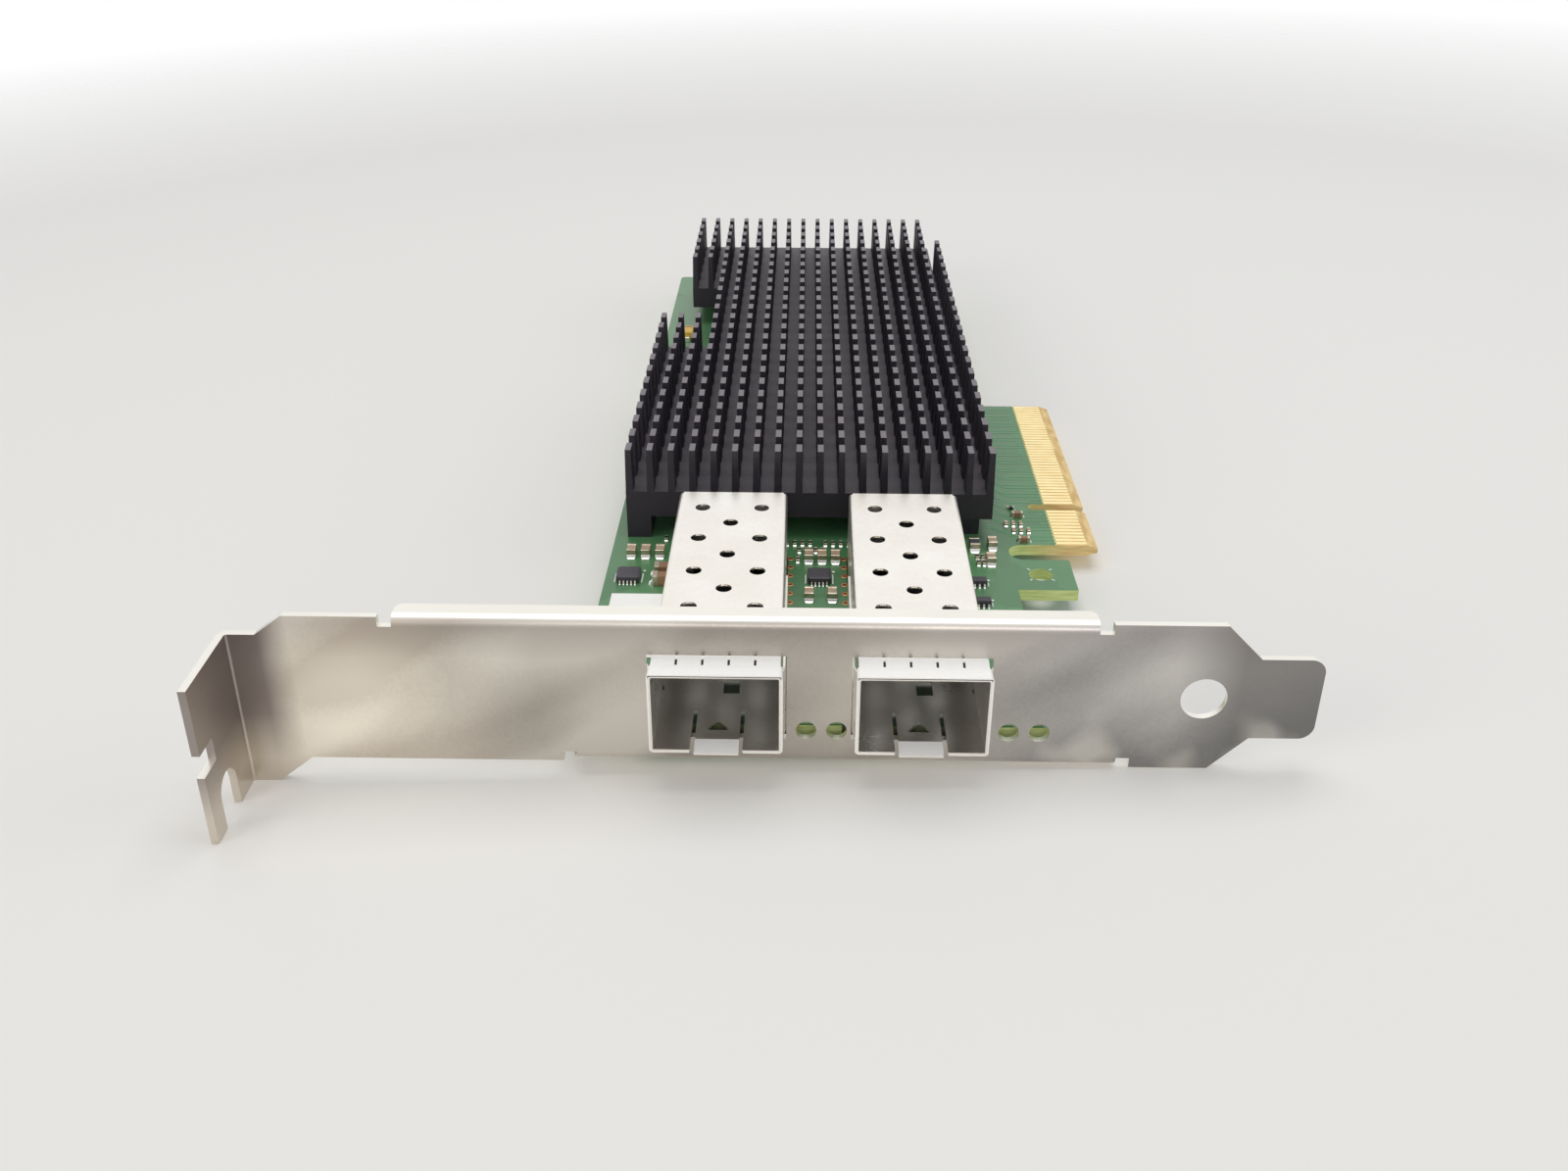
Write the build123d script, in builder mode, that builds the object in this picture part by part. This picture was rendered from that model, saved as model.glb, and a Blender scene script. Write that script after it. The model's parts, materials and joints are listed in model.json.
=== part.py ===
from build123d import *
import os

# Network interface card with two module ports and a pin-fin heatsink.
#
# The origin is the datum of the contact edge: the key slot's centreline, at the tip of the edge,
# on the component face of the board. +X points out of the contact edge, +Y runs along the board
# away from the bracket, and +Z stands on the component face. Sizes are in millimetres.

# Board
board_thickness = 1.57
card_height = 67.2          # from the tip of the contact edge to the far long edge
card_length = 167.65
board_setback = 1.9         # board's near edge behind the bracket's front face
board_corner = 1.0
contact_reach = 12.6        # contact edge beyond the board's lower long edge
ear_reach = 7.9             # retention ear beyond the same edge
ear_width = 8.5
ear_slot_width = 4.4        # gap between the ear and the contact edge
ear_slot_corner = 2.0
ear_hole = 3.25
ear_hole_inset = 4.4        # from the ear's tip
contact_bevel_length = 1.5
contact_bevel_depth = 0.45

# Sides of the small round holes and shanks that repeat
hole_sides = 16
head_sides = 24

# Contacts
contact_pitch = 1.0
contact_width = 0.7
contact_length = 4.2
contact_thickness = 0.05
contact_end_margin = 0.65
contacts_near_key = 11
contacts_beyond_key = 38
key_width = 1.9
key_depth = 8.25
key_to_first_contact = 1.5

# Bracket
sheet = 0.86
bend_radius = 0.3
bracket_length = 120.02
bracket_width = 18.42
key_to_bracket = 59.05      # from the key's centreline to the bracket's front face
tongue_beyond_contacts = 15.75
bracket_below_board = 3.85  # bracket's lower edge under the component face
tongue_length = 7.05
tongue_width = 10.19
tongue_edge_to_lower_edge = 4.115
tongue_corner = 1.7
bracket_hole = 5.1
bracket_hole_from_tip = 12.67
flange_depth = 3.0
flange_corner = 1.0
relief_width = 1.5
relief_beyond_bend = 0.05
top_flange_start = 19.1     # from the screw tab's outer face
top_flange_end = 95.2
low_flange_start = 38.1
low_flange_end = 98.6
top_slant_start = 4.1
top_slant_end = 7.3
top_slant_drop = 2.4
low_slant_start = 3.9
low_slant_end = 8.1
tab_below_edge = 3.3        # screw tab's lower edge under the bracket's lower edge

# Screw tab
tab_depth = 11.43
screw_slot_width = 4.6
screw_slot_from_bracket = 6.4
screw_slot_height = 5.8
tab_notch_height = 2.8
tab_notch_depth = 3.5
tab_notch_above_low_end = 8.5

# Tabs under the board that hold the bracket
foot_width = 7.2
foot_depth = 14.5
foot_screw_depth = 11.0     # behind the bracket's front face
foot_left = 41.4            # centres, from the screw tab's outer face
foot_right = 88.4
bracket_screw = 2.95
bracket_screw_head = 5.4
bracket_screw_head_height = 1.9
bracket_board_hole = 3.3
nut_bore = 3.0
nut_collar = 5.2
nut_shank = 4.2
nut_seat = 4.25

# Port cages
left_port_from_contacts = -50.25
port_pitch = 22.5
cage_width = 14.3
cage_height = 9.71
cage_sheet = 0.25
cage_bend = 0.45
cage_mouth_reach = 3.5      # mouth in front of the bracket's front face
cage_length = 46.0
cage_vent = 1.95
cage_vent_row = 4.35
cage_vent_from_rear = 4.7
cage_vent_rows = 7
cage_vent_offset = 3.85
cage_rear_notch_width = 0.5
cage_rear_notch_depth = 0.35
cage_pin_width = 0.7
cage_pin_reach = 0.4        # below the solder side
cage_pin_pitch = 7.2
cage_pins = 5
cage_pin_hole = 1.05
cage_first_pin = 9.0        # behind the bracket's front face
floor_gap = 0.02
floor_length = 33.6
floor_rim_start = 2.6       # behind the bracket's front face
floor_rim_end = 29.3
floor_rim_height = 4.3
latch_width = 5.36
latch_slit = 0.45
latch_start = 2.1           # behind the mouth
latch_end = 7.6
latch_lip_drop = 0.45
latch_hole_width = 2.9
latch_hole_length = 1.9
latch_hole_from_mouth = 3.9
floor_window_width = 1.9
floor_window_length = 2.8
floor_window_offset = 1.15  # to the right of the port's centreline
floor_window_from_mouth = 12.8

# Sprung collars
collar_sheet = 0.15
collar_band = 2.1
collar_fingers_top = 5
collar_fingers_side = 3
collar_slit = 0.27
collar_top_margin = 0.15    # from the cage's corner to the first finger
collar_side_margin = 0.6
port_clearance = 0.5        # between a cage and its cut-out in the bracket
collar_contact_gap = 0.06

# Host connectors
connector_width = 12.2
connector_height = 5.9
connector_depth = 9.3
connector_from_rear = 1.2
connector_slot_width = 9.6
connector_slot_height = 1.2
connector_slot_depth = 5.2
connector_slot_level = 3.4
connector_step_height = 1.6
connector_step_depth = 2.4
connector_contacts = 10
connector_contact_pitch = 0.8
connector_contact_width = 0.3
connector_tail = 0.75
connector_tail_thickness = 0.2

# Status lights
led_hole = 2.3
led_level = 0.6             # centre above the component face
led_from_port = 9.85        # first light, from the port's centreline
led_pitch = 3.4
led_width = 1.6
led_depth = 1.2
led_height = 1.1
led_lens = 0.5
led_setback = 0.3           # behind the board's near edge

# Heatsink
sink_near = 48.15           # near face, behind the bracket's front face
sink_left_inset = 1.73      # left face, from the board's far long edge
sink_base_level = 3.3       # underside above the component face
sink_base_thickness = 3.75
pin_height = 6.1
pin_root_x = 1.0
pin_root_y = 2.7
pin_taper = 1.0
pin_pitch_x = 2.92
pin_pitch_y = 5.07
pin_columns = 18
pin_rows = 24
pin_edge_inset = 0.02
notch_columns = 3
notch_first_row = 12
notch_last_row = 17
far_left_missing = 1
far_right_missing_rows = 3
foot_block_x = 3.35
foot_block_y = 6.0
near_right_foot_inset_x = 1.5
near_right_foot_inset_y = 2.0
sink_screw = 1.95
sink_screw_bore = 2.0
sink_board_hole = 2.4
sink_screw_head = 4.0
sink_screw_head_height = 1.3
sink_screw_engagement = 3.0
sink_bore_beyond_screw = 0.5

# Controller under the heatsink
controller_size = 25.0
controller_substrate = 1.2
controller_lid = 21.0
controller_lid_height = 1.2
controller_lid_corner = 1.0
controller_column = 10      # the package sits under this column and row of pins
controller_row = 6
pad_thickness = 0.3

# Chip parts: length, width and height of each kind
terminal_share = 0.22       # of the part's length, at each end
filter_part = (2.0, 1.25, 1.25)
storage_part = (3.2, 1.6, 1.5)
small_part = (1.0, 0.5, 0.5)
medium_part = (1.6, 0.8, 0.8)
terminal_proud = 0.03

# Small chips
driver_body = (3.1, 3.1, 1.0)
driver_leads = 5
driver_lead_pitch = 0.5
driver_lead_width = 0.24
translator_body = (2.0, 1.25, 0.95)
translator_leads = 3
translator_lead_pitch = 0.65
translator_lead_width = 0.24
memory_body = (4.9, 3.9, 1.5)
memory_leads = 4
memory_lead_pitch = 1.27
memory_lead_width = 0.42
regulator_body = (5.0, 5.0, 1.0)
lead_reach = 0.7
lead_foot = 0.4
lead_thickness = 0.18
chip_standoff = 0.08
choke_size = (1.4, 2.1, 1.25)
choke_corner = 0.15
power_choke_size = (6.6, 6.6, 2.8)
power_choke_corner = 1.2
crystal_size = (5.0, 3.2, 1.1)
crystal_lid = (4.5, 2.7, 0.25)
tantalum_size = (3.5, 2.8, 1.9)
label_size = (7.9, 15.8, 0.1)

# Levels and edges that follow from the sizes above
bracket_y = -key_to_bracket
bracket_back_y = bracket_y + sheet
tab_x = tongue_beyond_contacts - bracket_length
tab_inner_x = tab_x + sheet
bracket_low_z = -bracket_below_board
bracket_top_z = bracket_low_z + bracket_width
solder_z = -board_thickness

board_near_y = bracket_y + board_setback
board_far_y = board_near_y + card_length
far_edge_x = -card_height
lower_edge_x = -contact_reach

contact_near_y = -key_to_first_contact - (contacts_near_key - 1) * contact_pitch - contact_end_margin
contact_far_y = key_to_first_contact + (contacts_beyond_key - 1) * contact_pitch + contact_end_margin
ear_far_y = contact_near_y - ear_slot_width
ear_near_y = ear_far_y - ear_width
ear_tip_x = lower_edge_x + ear_reach
ear_hole_x = ear_tip_x - ear_hole_inset
ear_hole_y = ear_near_y + ear_width / 2

port_x = {"left": left_port_from_contacts, "right": left_port_from_contacts + port_pitch}
mouth_y = bracket_y - cage_mouth_reach
cage_rear_y = mouth_y + cage_length
cage_middle_z = cage_height / 2

sink_near_y = bracket_y + sink_near
sink_left_x = far_edge_x + sink_left_inset
sink_base_z = sink_base_level
sink_top_z = sink_base_z + sink_base_thickness
first_pin_x = sink_left_x + pin_edge_inset + pin_root_x / 2
first_pin_y = sink_near_y + pin_edge_inset + pin_root_y / 2
sink_right_x = first_pin_x + (pin_columns - 1) * pin_pitch_x + pin_root_x / 2 + pin_edge_inset
sink_far_y = first_pin_y + (pin_rows - 1) * pin_pitch_y + pin_root_y / 2 + pin_edge_inset


def pin_x(column):
    return first_pin_x + column * pin_pitch_x


def pin_y(row):
    return first_pin_y + row * pin_pitch_y


def column_left(column):
    """Left face of the base at a step that starts with this column."""
    return pin_x(column) - pin_root_x / 2 - pin_edge_inset


def row_near(row):
    """Near face of the base at a step that starts with this row."""
    return pin_y(row) - pin_root_y / 2 - pin_edge_inset


def row_far(row):
    return pin_y(row) + pin_root_y / 2 + pin_edge_inset


controller_x = pin_x(controller_column)
controller_y = pin_y(controller_row)

sink_feet = [
    (sink_left_x + foot_block_x / 2, sink_near_y + foot_block_y / 2),
    (
        sink_right_x - near_right_foot_inset_x - foot_block_x / 2,
        sink_near_y + near_right_foot_inset_y + foot_block_y / 2,
    ),
    (column_left(far_left_missing) + foot_block_x / 2, sink_far_y - foot_block_y / 2),
    (column_left(pin_columns - 1) - foot_block_x / 2, sink_far_y - foot_block_y / 2),
]
outer_bend = bend_radius + sheet
relief_depth = outer_bend + relief_beyond_bend
bracket_feet = [tab_x + foot_left, tab_x + foot_right]
foot_screw_y = bracket_y + foot_screw_depth
cage_pin_ys = [bracket_y + cage_first_pin + i * cage_pin_pitch for i in range(cage_pins)]
cage_wall_x = (cage_width - cage_sheet) / 2
cage_pin_places = [
    (x + side * cage_wall_x, y) for x in port_x.values() for side in (-1, 1) for y in cage_pin_ys
]
contact_ys = [-key_to_first_contact - i * contact_pitch for i in range(contacts_near_key)]
contact_ys += [key_to_first_contact + i * contact_pitch for i in range(contacts_beyond_key)]

os.makedirs("parts", exist_ok=True)


def save(builder, name):
    builder.part.label = name
    export_step(builder.part, f"parts/{name}.step")


# Circuit board: one laminate with the keyed contact edge and the retention ear
with BuildPart() as circuit_board:
    with BuildSketch(Plane.XY.offset(solder_z)):
        with BuildLine():
            Polyline(
                (far_edge_x, board_near_y),
                (lower_edge_x, board_near_y),
                (lower_edge_x, ear_near_y),
                (ear_tip_x, ear_near_y),
                (ear_tip_x, ear_far_y),
                (lower_edge_x, ear_far_y),
                (lower_edge_x, contact_near_y),
                (0, contact_near_y),
                (0, contact_far_y),
                (lower_edge_x, contact_far_y),
                (lower_edge_x, board_far_y),
                (far_edge_x, board_far_y),
                close=True,
            )
        make_face()
        corners = vertices().sort_by(Axis.Y)
        fillet([corners[0], corners[1], corners[-1], corners[-2]], board_corner)
        slot_points = [(lower_edge_x, ear_far_y), (lower_edge_x, contact_near_y)]
        slot_corners = [v for v in vertices() for x, y in slot_points if abs(v.X - x) + abs(v.Y - y) < 0.01]
        fillet(slot_corners, ear_slot_corner)
        with Locations((0, 0)):
            SlotOverall(2 * key_depth, key_width, mode=Mode.SUBTRACT)
        with Locations((ear_hole_x, ear_hole_y)):
            Circle(ear_hole / 2, mode=Mode.SUBTRACT)
        with Locations(*cage_pin_places):
            RegularPolygon(cage_pin_hole / 2, hole_sides, mode=Mode.SUBTRACT)
        with Locations(*[(x, foot_screw_y) for x in bracket_feet]):
            RegularPolygon(bracket_board_hole / 2, hole_sides, mode=Mode.SUBTRACT)
        with Locations(*sink_feet):
            RegularPolygon(sink_board_hole / 2, hole_sides, mode=Mode.SUBTRACT)
    extrude(amount=board_thickness)
    for face in (faces().sort_by(Axis.Z)[-1], faces().sort_by(Axis.Z)[0]):
        tip_edges = [e for e in face.edges().filter_by(Axis.Y) if abs(e.center().X) < contact_bevel_depth]
        chamfer(tip_edges, contact_bevel_length, contact_bevel_depth, reference=face)
save(circuit_board, "circuit_board")


def contact_row(level):
    """One face's gold contacts, each a thin separate plate."""
    middle_x = -contact_bevel_length - contact_length / 2
    with BuildPart() as row:
        with BuildSketch(Plane.XY.offset(level)):
            with Locations(*[(middle_x, y) for y in contact_ys]):
                Rectangle(contact_length, contact_width)
        extrude(amount=contact_thickness)
    return row


save(contact_row(0), "component_side_contacts")
save(contact_row(solder_z - contact_thickness), "solder_side_contacts")

# Bracket: face plate, screw tab and flanges, folded from one sheet
face_plane = Plane.XZ.offset(key_to_bracket)
low_bracket_z = bracket_low_z - tab_below_edge
tab_top_z = bracket_top_z - top_slant_drop
tongue_low_z = bracket_low_z + tongue_edge_to_lower_edge
tongue_top_z = tongue_low_z + tongue_width
tongue_tip_x = tab_x + bracket_length
tongue_root_x = tongue_tip_x - tongue_length
top_chamfer = bracket_top_z - tongue_top_z
low_chamfer = tongue_edge_to_lower_edge

with BuildPart() as bracket:
    with BuildSketch(face_plane):
        with BuildLine():
            Polyline(
                (tab_x, low_bracket_z),
                (tab_x + low_slant_start, low_bracket_z),
                (tab_x + low_slant_end, bracket_low_z),
                (tongue_root_x - low_chamfer, bracket_low_z),
                (tongue_root_x, tongue_low_z),
                (tongue_tip_x, tongue_low_z),
                (tongue_tip_x, tongue_top_z),
                (tongue_root_x, tongue_top_z),
                (tongue_root_x - top_chamfer, bracket_top_z),
                (tab_x + top_slant_end, bracket_top_z),
                (tab_x + top_slant_start, tab_top_z),
                (tab_x, tab_top_z),
                close=True,
            )
        make_face()
        fillet(vertices().sort_by(Axis.X)[-2:], tongue_corner)
        for x in port_x.values():
            with Locations((x, cage_middle_z)):
                Rectangle(
                    cage_width + 2 * port_clearance, cage_height + 2 * port_clearance, mode=Mode.SUBTRACT
                )
            with Locations((x + led_from_port, led_level), (x + led_from_port + led_pitch, led_level)):
                RegularPolygon(led_hole / 2, head_sides, mode=Mode.SUBTRACT)
        with Locations((tongue_tip_x - bracket_hole_from_tip, (tongue_low_z + tongue_top_z) / 2)):
            Circle(bracket_hole / 2, mode=Mode.SUBTRACT)
        with Locations(
            (tab_x + top_flange_start - relief_width / 2, bracket_top_z),
            (tab_x + top_flange_end + relief_width / 2, bracket_top_z),
            (tab_x + low_flange_start - relief_width / 2, bracket_low_z),
            (tab_x + low_flange_end + relief_width / 2, bracket_low_z),
        ):
            Rectangle(relief_width, 2 * relief_depth, mode=Mode.SUBTRACT)
    extrude(amount=-sheet)

    top_flange_middle = tab_x + (top_flange_start + top_flange_end) / 2
    with BuildSketch(Plane.XY.offset(bracket_top_z)):
        with Locations((top_flange_middle, bracket_y)):
            Rectangle(top_flange_end - top_flange_start, flange_depth, align=(Align.CENTER, Align.MIN))
        fillet(vertices().sort_by(Axis.Y)[-2:], flange_corner)
    extrude(amount=-sheet)

    low_flange_middle = tab_x + (low_flange_start + low_flange_end) / 2
    with BuildSketch(Plane.XY.offset(bracket_low_z)):
        with Locations((low_flange_middle, bracket_y)):
            Rectangle(low_flange_end - low_flange_start, flange_depth, align=(Align.CENTER, Align.MIN))
        with Locations(*[(x, bracket_y) for x in bracket_feet]):
            Rectangle(foot_width, foot_depth, align=(Align.CENTER, Align.MIN))
        fillet(vertices().sort_by(Axis.Y)[-4:], flange_corner)
        with Locations(*[(x, foot_screw_y) for x in bracket_feet]):
            RegularPolygon(nut_seat / 2, head_sides, mode=Mode.SUBTRACT)
    extrude(amount=sheet)

    with BuildSketch(Plane.YZ.offset(tab_x)):
        with Locations((bracket_back_y, low_bracket_z)):
            Rectangle(tab_depth + sheet, tab_top_z - low_bracket_z, align=(Align.MAX, Align.MIN))
        slot_top_z = low_bracket_z + screw_slot_height
        with Locations((bracket_y - screw_slot_from_bracket, slot_top_z - screw_slot_width / 2)):
            Circle(screw_slot_width / 2, mode=Mode.SUBTRACT)
            Rectangle(
                screw_slot_width, screw_slot_height, align=(Align.CENTER, Align.MAX), mode=Mode.SUBTRACT
            )
        with Locations((bracket_y - tab_depth, low_bracket_z + tab_notch_above_low_end)):
            Rectangle(
                2 * tab_notch_depth, tab_notch_height, align=(Align.CENTER, Align.MIN), mode=Mode.SUBTRACT
            )
    extrude(amount=sheet)

    flange_length = low_flange_end - low_flange_start
    long_edges = [e for e in edges().filter_by(Axis.X) if e.length > 0.9 * flange_length]
    outer_corners = [(bracket_y, bracket_top_z), (bracket_y, bracket_low_z)]
    inner_corners = [(bracket_back_y, bracket_top_z - sheet), (bracket_back_y, bracket_low_z + sheet)]
    for corners, radius in ((outer_corners, outer_bend), (inner_corners, bend_radius)):
        for y, z in corners:
            fillet([e for e in long_edges if abs(e.center().Y - y) + abs(e.center().Z - z) < 0.01], radius)
    tab_corners = [(tab_x, bracket_back_y, outer_bend), (tab_inner_x, bracket_y, bend_radius)]
    for x, y, radius in tab_corners:
        upright = edges().filter_by(Axis.Z)
        fillet([e for e in upright if abs(e.center().X - x) + abs(e.center().Y - y) < 0.01], radius)
save(bracket, "bracket")

# Clinch nuts stand on the bracket's feet and carry the board
with BuildPart() as bracket_nuts:
    with BuildSketch(Plane.XY.offset(bracket_low_z + sheet)):
        with Locations(*[(x, foot_screw_y) for x in bracket_feet]):
            RegularPolygon(nut_collar / 2, head_sides)
    extrude(amount=solder_z - bracket_low_z - sheet)
    with BuildSketch(Plane.XY.offset(bracket_low_z)):
        with Locations(*[(x, foot_screw_y) for x in bracket_feet]):
            RegularPolygon(nut_shank / 2, head_sides)
    extrude(amount=sheet)
    with BuildSketch(Plane.XY.offset(bracket_low_z)):
        with Locations(*[(x, foot_screw_y) for x in bracket_feet]):
            RegularPolygon(nut_bore / 2, hole_sides)
    extrude(amount=-bracket_low_z, mode=Mode.SUBTRACT)
save(bracket_nuts, "bracket_nuts")


def pan_head_screws(places, head_level, up, head, head_height, shank, shank_length):
    """Pan head screws; up is 1 where the head stands above its level and -1 where it hangs."""
    rim_height = head_height * 0.6
    crown_level = head_level + up * rim_height
    with BuildPart() as screws:
        with BuildSketch(Plane.XY.offset(head_level)):
            with Locations(*places):
                RegularPolygon(head / 2, head_sides)
        extrude(amount=up * rim_height)
        with BuildSketch(Plane.XY.offset(crown_level)):
            with Locations(*places):
                RegularPolygon(head / 2, head_sides)
        extrude(amount=up * (head_height - rim_height), taper=45)
        with BuildSketch(Plane.XY.offset(head_level)):
            with Locations(*places):
                RegularPolygon(shank / 2, hole_sides)
        extrude(amount=-up * shank_length)
        with BuildSketch(Plane.XY.offset(crown_level)):
            with Locations(*places):
                Rectangle(head * 0.5, head * 0.12)
                Rectangle(head * 0.12, head * 0.5)
        extrude(amount=up * head_height, mode=Mode.SUBTRACT)
    return screws


save(
    pan_head_screws(
        [(x, foot_screw_y) for x in bracket_feet],
        0,
        1,
        bracket_screw_head,
        bracket_screw_head_height,
        bracket_screw,
        -bracket_low_z,
    ),
    "bracket_screws",
)


def cage_cover(x):
    """Top, sides and rear of one cage, folded from one sheet, with press-fit pins."""
    inner_width = cage_width - 2 * cage_sheet
    inner_top = cage_height - cage_sheet
    vent_row_ys = [cage_rear_y - cage_vent_from_rear - i * cage_vent_row for i in range(cage_vent_rows)]
    with BuildPart() as cover:
        with BuildSketch(Plane.XZ.offset(-cage_rear_y)):
            with Locations((x, cage_sheet)):
                Rectangle(cage_width, inner_top, align=(Align.CENTER, Align.MIN))
            fillet(vertices().group_by(Axis.Y)[-1], cage_bend)
        extrude(amount=cage_length)
        with BuildSketch(Plane.XZ.offset(-mouth_y)):
            with Locations((x, 0)):
                Rectangle(inner_width, inner_top, align=(Align.CENTER, Align.MIN))
            fillet(vertices().group_by(Axis.Y)[-1], cage_bend - cage_sheet)
        extrude(amount=cage_sheet - cage_length, mode=Mode.SUBTRACT)
        with BuildSketch(Plane.XY.offset(cage_height)):
            for i, y in enumerate(vent_row_ys):
                offsets = [0] if i % 2 else [-cage_vent_offset, cage_vent_offset]
                with Locations(*[(x + dx, y) for dx in offsets]):
                    RegularPolygon(cage_vent / 2, hole_sides)
        extrude(amount=-2 * cage_sheet, mode=Mode.SUBTRACT)
        with BuildSketch(Plane.XY.offset(cage_height)):
            with Locations((x - cage_width / 2, cage_rear_y), (x + cage_width / 2, cage_rear_y)):
                Rectangle(2 * cage_rear_notch_width, 2 * cage_rear_notch_depth)
        extrude(amount=-cage_bend - cage_sheet, mode=Mode.SUBTRACT)
        with BuildSketch(Plane.XY.offset(cage_sheet)):
            for side in (-1, 1):
                with Locations(*[(x + side * cage_wall_x, y) for y in cage_pin_ys]):
                    Rectangle(cage_sheet, cage_pin_width)
        extrude(amount=solder_z - cage_pin_reach - cage_sheet)
    return cover


def cage_floor(x):
    """Floor of one cage, with the latch tongue and rims that clasp the cover's sides."""
    rim_x = cage_width / 2 + floor_gap
    plate_width = cage_width + 2 * (floor_gap + cage_sheet)
    rim_start_y = bracket_y + floor_rim_start
    rim_end_y = bracket_y + floor_rim_end
    hole_base_y = mouth_y + latch_hole_from_mouth
    with BuildPart() as floor:
        with BuildSketch(Plane.XY):
            with Locations((x, mouth_y)):
                Rectangle(cage_width, floor_length, align=(Align.CENTER, Align.MIN))
            with Locations((x, rim_start_y)):
                Rectangle(plate_width, rim_end_y - rim_start_y, align=(Align.CENTER, Align.MIN))
            for side in (-1, 1):
                with Locations((x + side * latch_width / 2, mouth_y)):
                    Rectangle(latch_slit, latch_end, align=(Align.CENTER, Align.MIN), mode=Mode.SUBTRACT)
            with Locations((x, mouth_y)):
                Rectangle(latch_width, latch_start, align=(Align.CENTER, Align.MIN), mode=Mode.SUBTRACT)
            with BuildLine():
                Polyline(
                    (x - latch_hole_width / 2, hole_base_y),
                    (x + latch_hole_width / 2, hole_base_y),
                    (x, hole_base_y + latch_hole_length),
                    close=True,
                )
            make_face(mode=Mode.SUBTRACT)
            with Locations((x + floor_window_offset, mouth_y + floor_window_from_mouth)):
                Rectangle(floor_window_width, floor_window_length, mode=Mode.SUBTRACT)
            for side in (-1, 1):
                with Locations(*[(x + side * cage_wall_x, y) for y in cage_pin_ys]):
                    Rectangle(2.4 * cage_sheet, 1.4 * cage_pin_width, mode=Mode.SUBTRACT)
        extrude(amount=cage_sheet)
        with BuildSketch(Plane.XY):
            for side in (-1, 1):
                with Locations((x + side * (rim_x + cage_sheet / 2), rim_start_y)):
                    Rectangle(cage_sheet, rim_end_y - rim_start_y, align=(Align.CENTER, Align.MIN))
        extrude(amount=floor_rim_height)
        lip_root_y = mouth_y + latch_start
        with BuildSketch(Plane.YZ.offset(x - (latch_width - latch_slit) / 2)):
            with BuildLine():
                Polyline(
                    (lip_root_y + cage_sheet, 0),
                    (lip_root_y + cage_sheet, cage_sheet),
                    (lip_root_y, cage_sheet),
                    (mouth_y, cage_sheet - latch_lip_drop),
                    (mouth_y, -latch_lip_drop),
                    (lip_root_y, 0),
                    close=True,
                )
            make_face()
        extrude(amount=latch_width - latch_slit)
    return floor


def finger_corners(level, rise):
    """Profile of one spring finger: from the band back to the bracket, flaring outwards."""
    start = mouth_y + collar_band
    end = bracket_y - collar_contact_gap
    return [
        (start, level),
        (end, level + rise),
        (end, level + rise + collar_sheet),
        (start, level + collar_sheet),
    ]


def port_collar(x):
    """Sprung collar round one mouth: a band with fingers that flare to the cut-out's edges."""
    flare = port_clearance - collar_sheet - collar_contact_gap
    top_span = cage_width - 2 * collar_top_margin
    side_span = cage_height - 2 * collar_side_margin
    top_finger = (top_span - (collar_fingers_top - 1) * collar_slit) / collar_fingers_top
    side_finger = (side_span - (collar_fingers_side - 1) * collar_slit) / collar_fingers_side
    with BuildPart() as collar:
        with BuildSketch(Plane.XZ.offset(-mouth_y)):
            with Locations((x, cage_middle_z)):
                RectangleRounded(cage_width + 2 * collar_sheet, cage_height + 2 * collar_sheet, cage_bend)
                Rectangle(cage_width, cage_height, mode=Mode.SUBTRACT)
            with Locations((x, 0)):
                Rectangle(latch_width + 2 * collar_slit, 2 * collar_sheet, mode=Mode.SUBTRACT)
        extrude(amount=-collar_band)
        for i in range(collar_fingers_top):
            left = x - top_span / 2 + i * (top_finger + collar_slit)
            profiles = [finger_corners(cage_height, flare)]
            if i in (0, collar_fingers_top - 1):
                profiles.append(finger_corners(-collar_sheet, -flare))
            with BuildSketch(Plane.YZ.offset(left)):
                for corners in profiles:
                    with BuildLine():
                        Polyline(*corners, close=True)
                    make_face()
            extrude(amount=top_finger)
        for i in range(collar_fingers_side):
            low = cage_middle_z - side_span / 2 + i * (side_finger + collar_slit)
            with BuildSketch(Plane.XY.offset(low)):
                for side in (-1, 1):
                    with BuildLine():
                        Polyline(
                            *[(x + side * out, y) for y, out in finger_corners(cage_width / 2, flare)],
                            close=True,
                        )
                    make_face()
            extrude(amount=side_finger)
    return collar


def host_connector(x):
    """Moulded connector at the rear of one cage, with its card slot facing the mouth."""
    rear_y = cage_rear_y - connector_from_rear - cage_sheet
    front_y = rear_y - connector_depth
    with BuildPart() as connector:
        with BuildSketch(Plane.XY):
            with Locations((x, front_y)):
                Rectangle(connector_width, connector_depth, align=(Align.CENTER, Align.MIN))
        extrude(amount=connector_height)
        with BuildSketch(Plane.XZ.offset(-front_y)):
            with Locations((x, connector_slot_level)):
                Rectangle(connector_slot_width, connector_slot_height)
        extrude(amount=-connector_slot_depth, mode=Mode.SUBTRACT)
        with BuildSketch(Plane.XY.offset(connector_height)):
            with Locations((x, front_y)):
                Rectangle(connector_slot_width, connector_step_depth, align=(Align.CENTER, Align.MIN))
        extrude(amount=-connector_step_height, mode=Mode.SUBTRACT)
        chamfer(edges().filter_by(Axis.Y).group_by(Axis.Z)[-1], 0.3)
    return connector


def connector_tails(x):
    """Solder tails behind one connector, each a thin separate foot."""
    rear_y = cage_rear_y - connector_from_rear - cage_sheet
    first = x - (connector_contacts - 1) * connector_contact_pitch / 2
    with BuildPart() as tails:
        with BuildSketch(Plane.XY):
            with Locations(
                *[(first + i * connector_contact_pitch, rear_y) for i in range(connector_contacts)]
            ):
                Rectangle(connector_contact_width, connector_tail, align=(Align.CENTER, Align.MIN))
        extrude(amount=connector_tail_thickness)
    return tails


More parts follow.
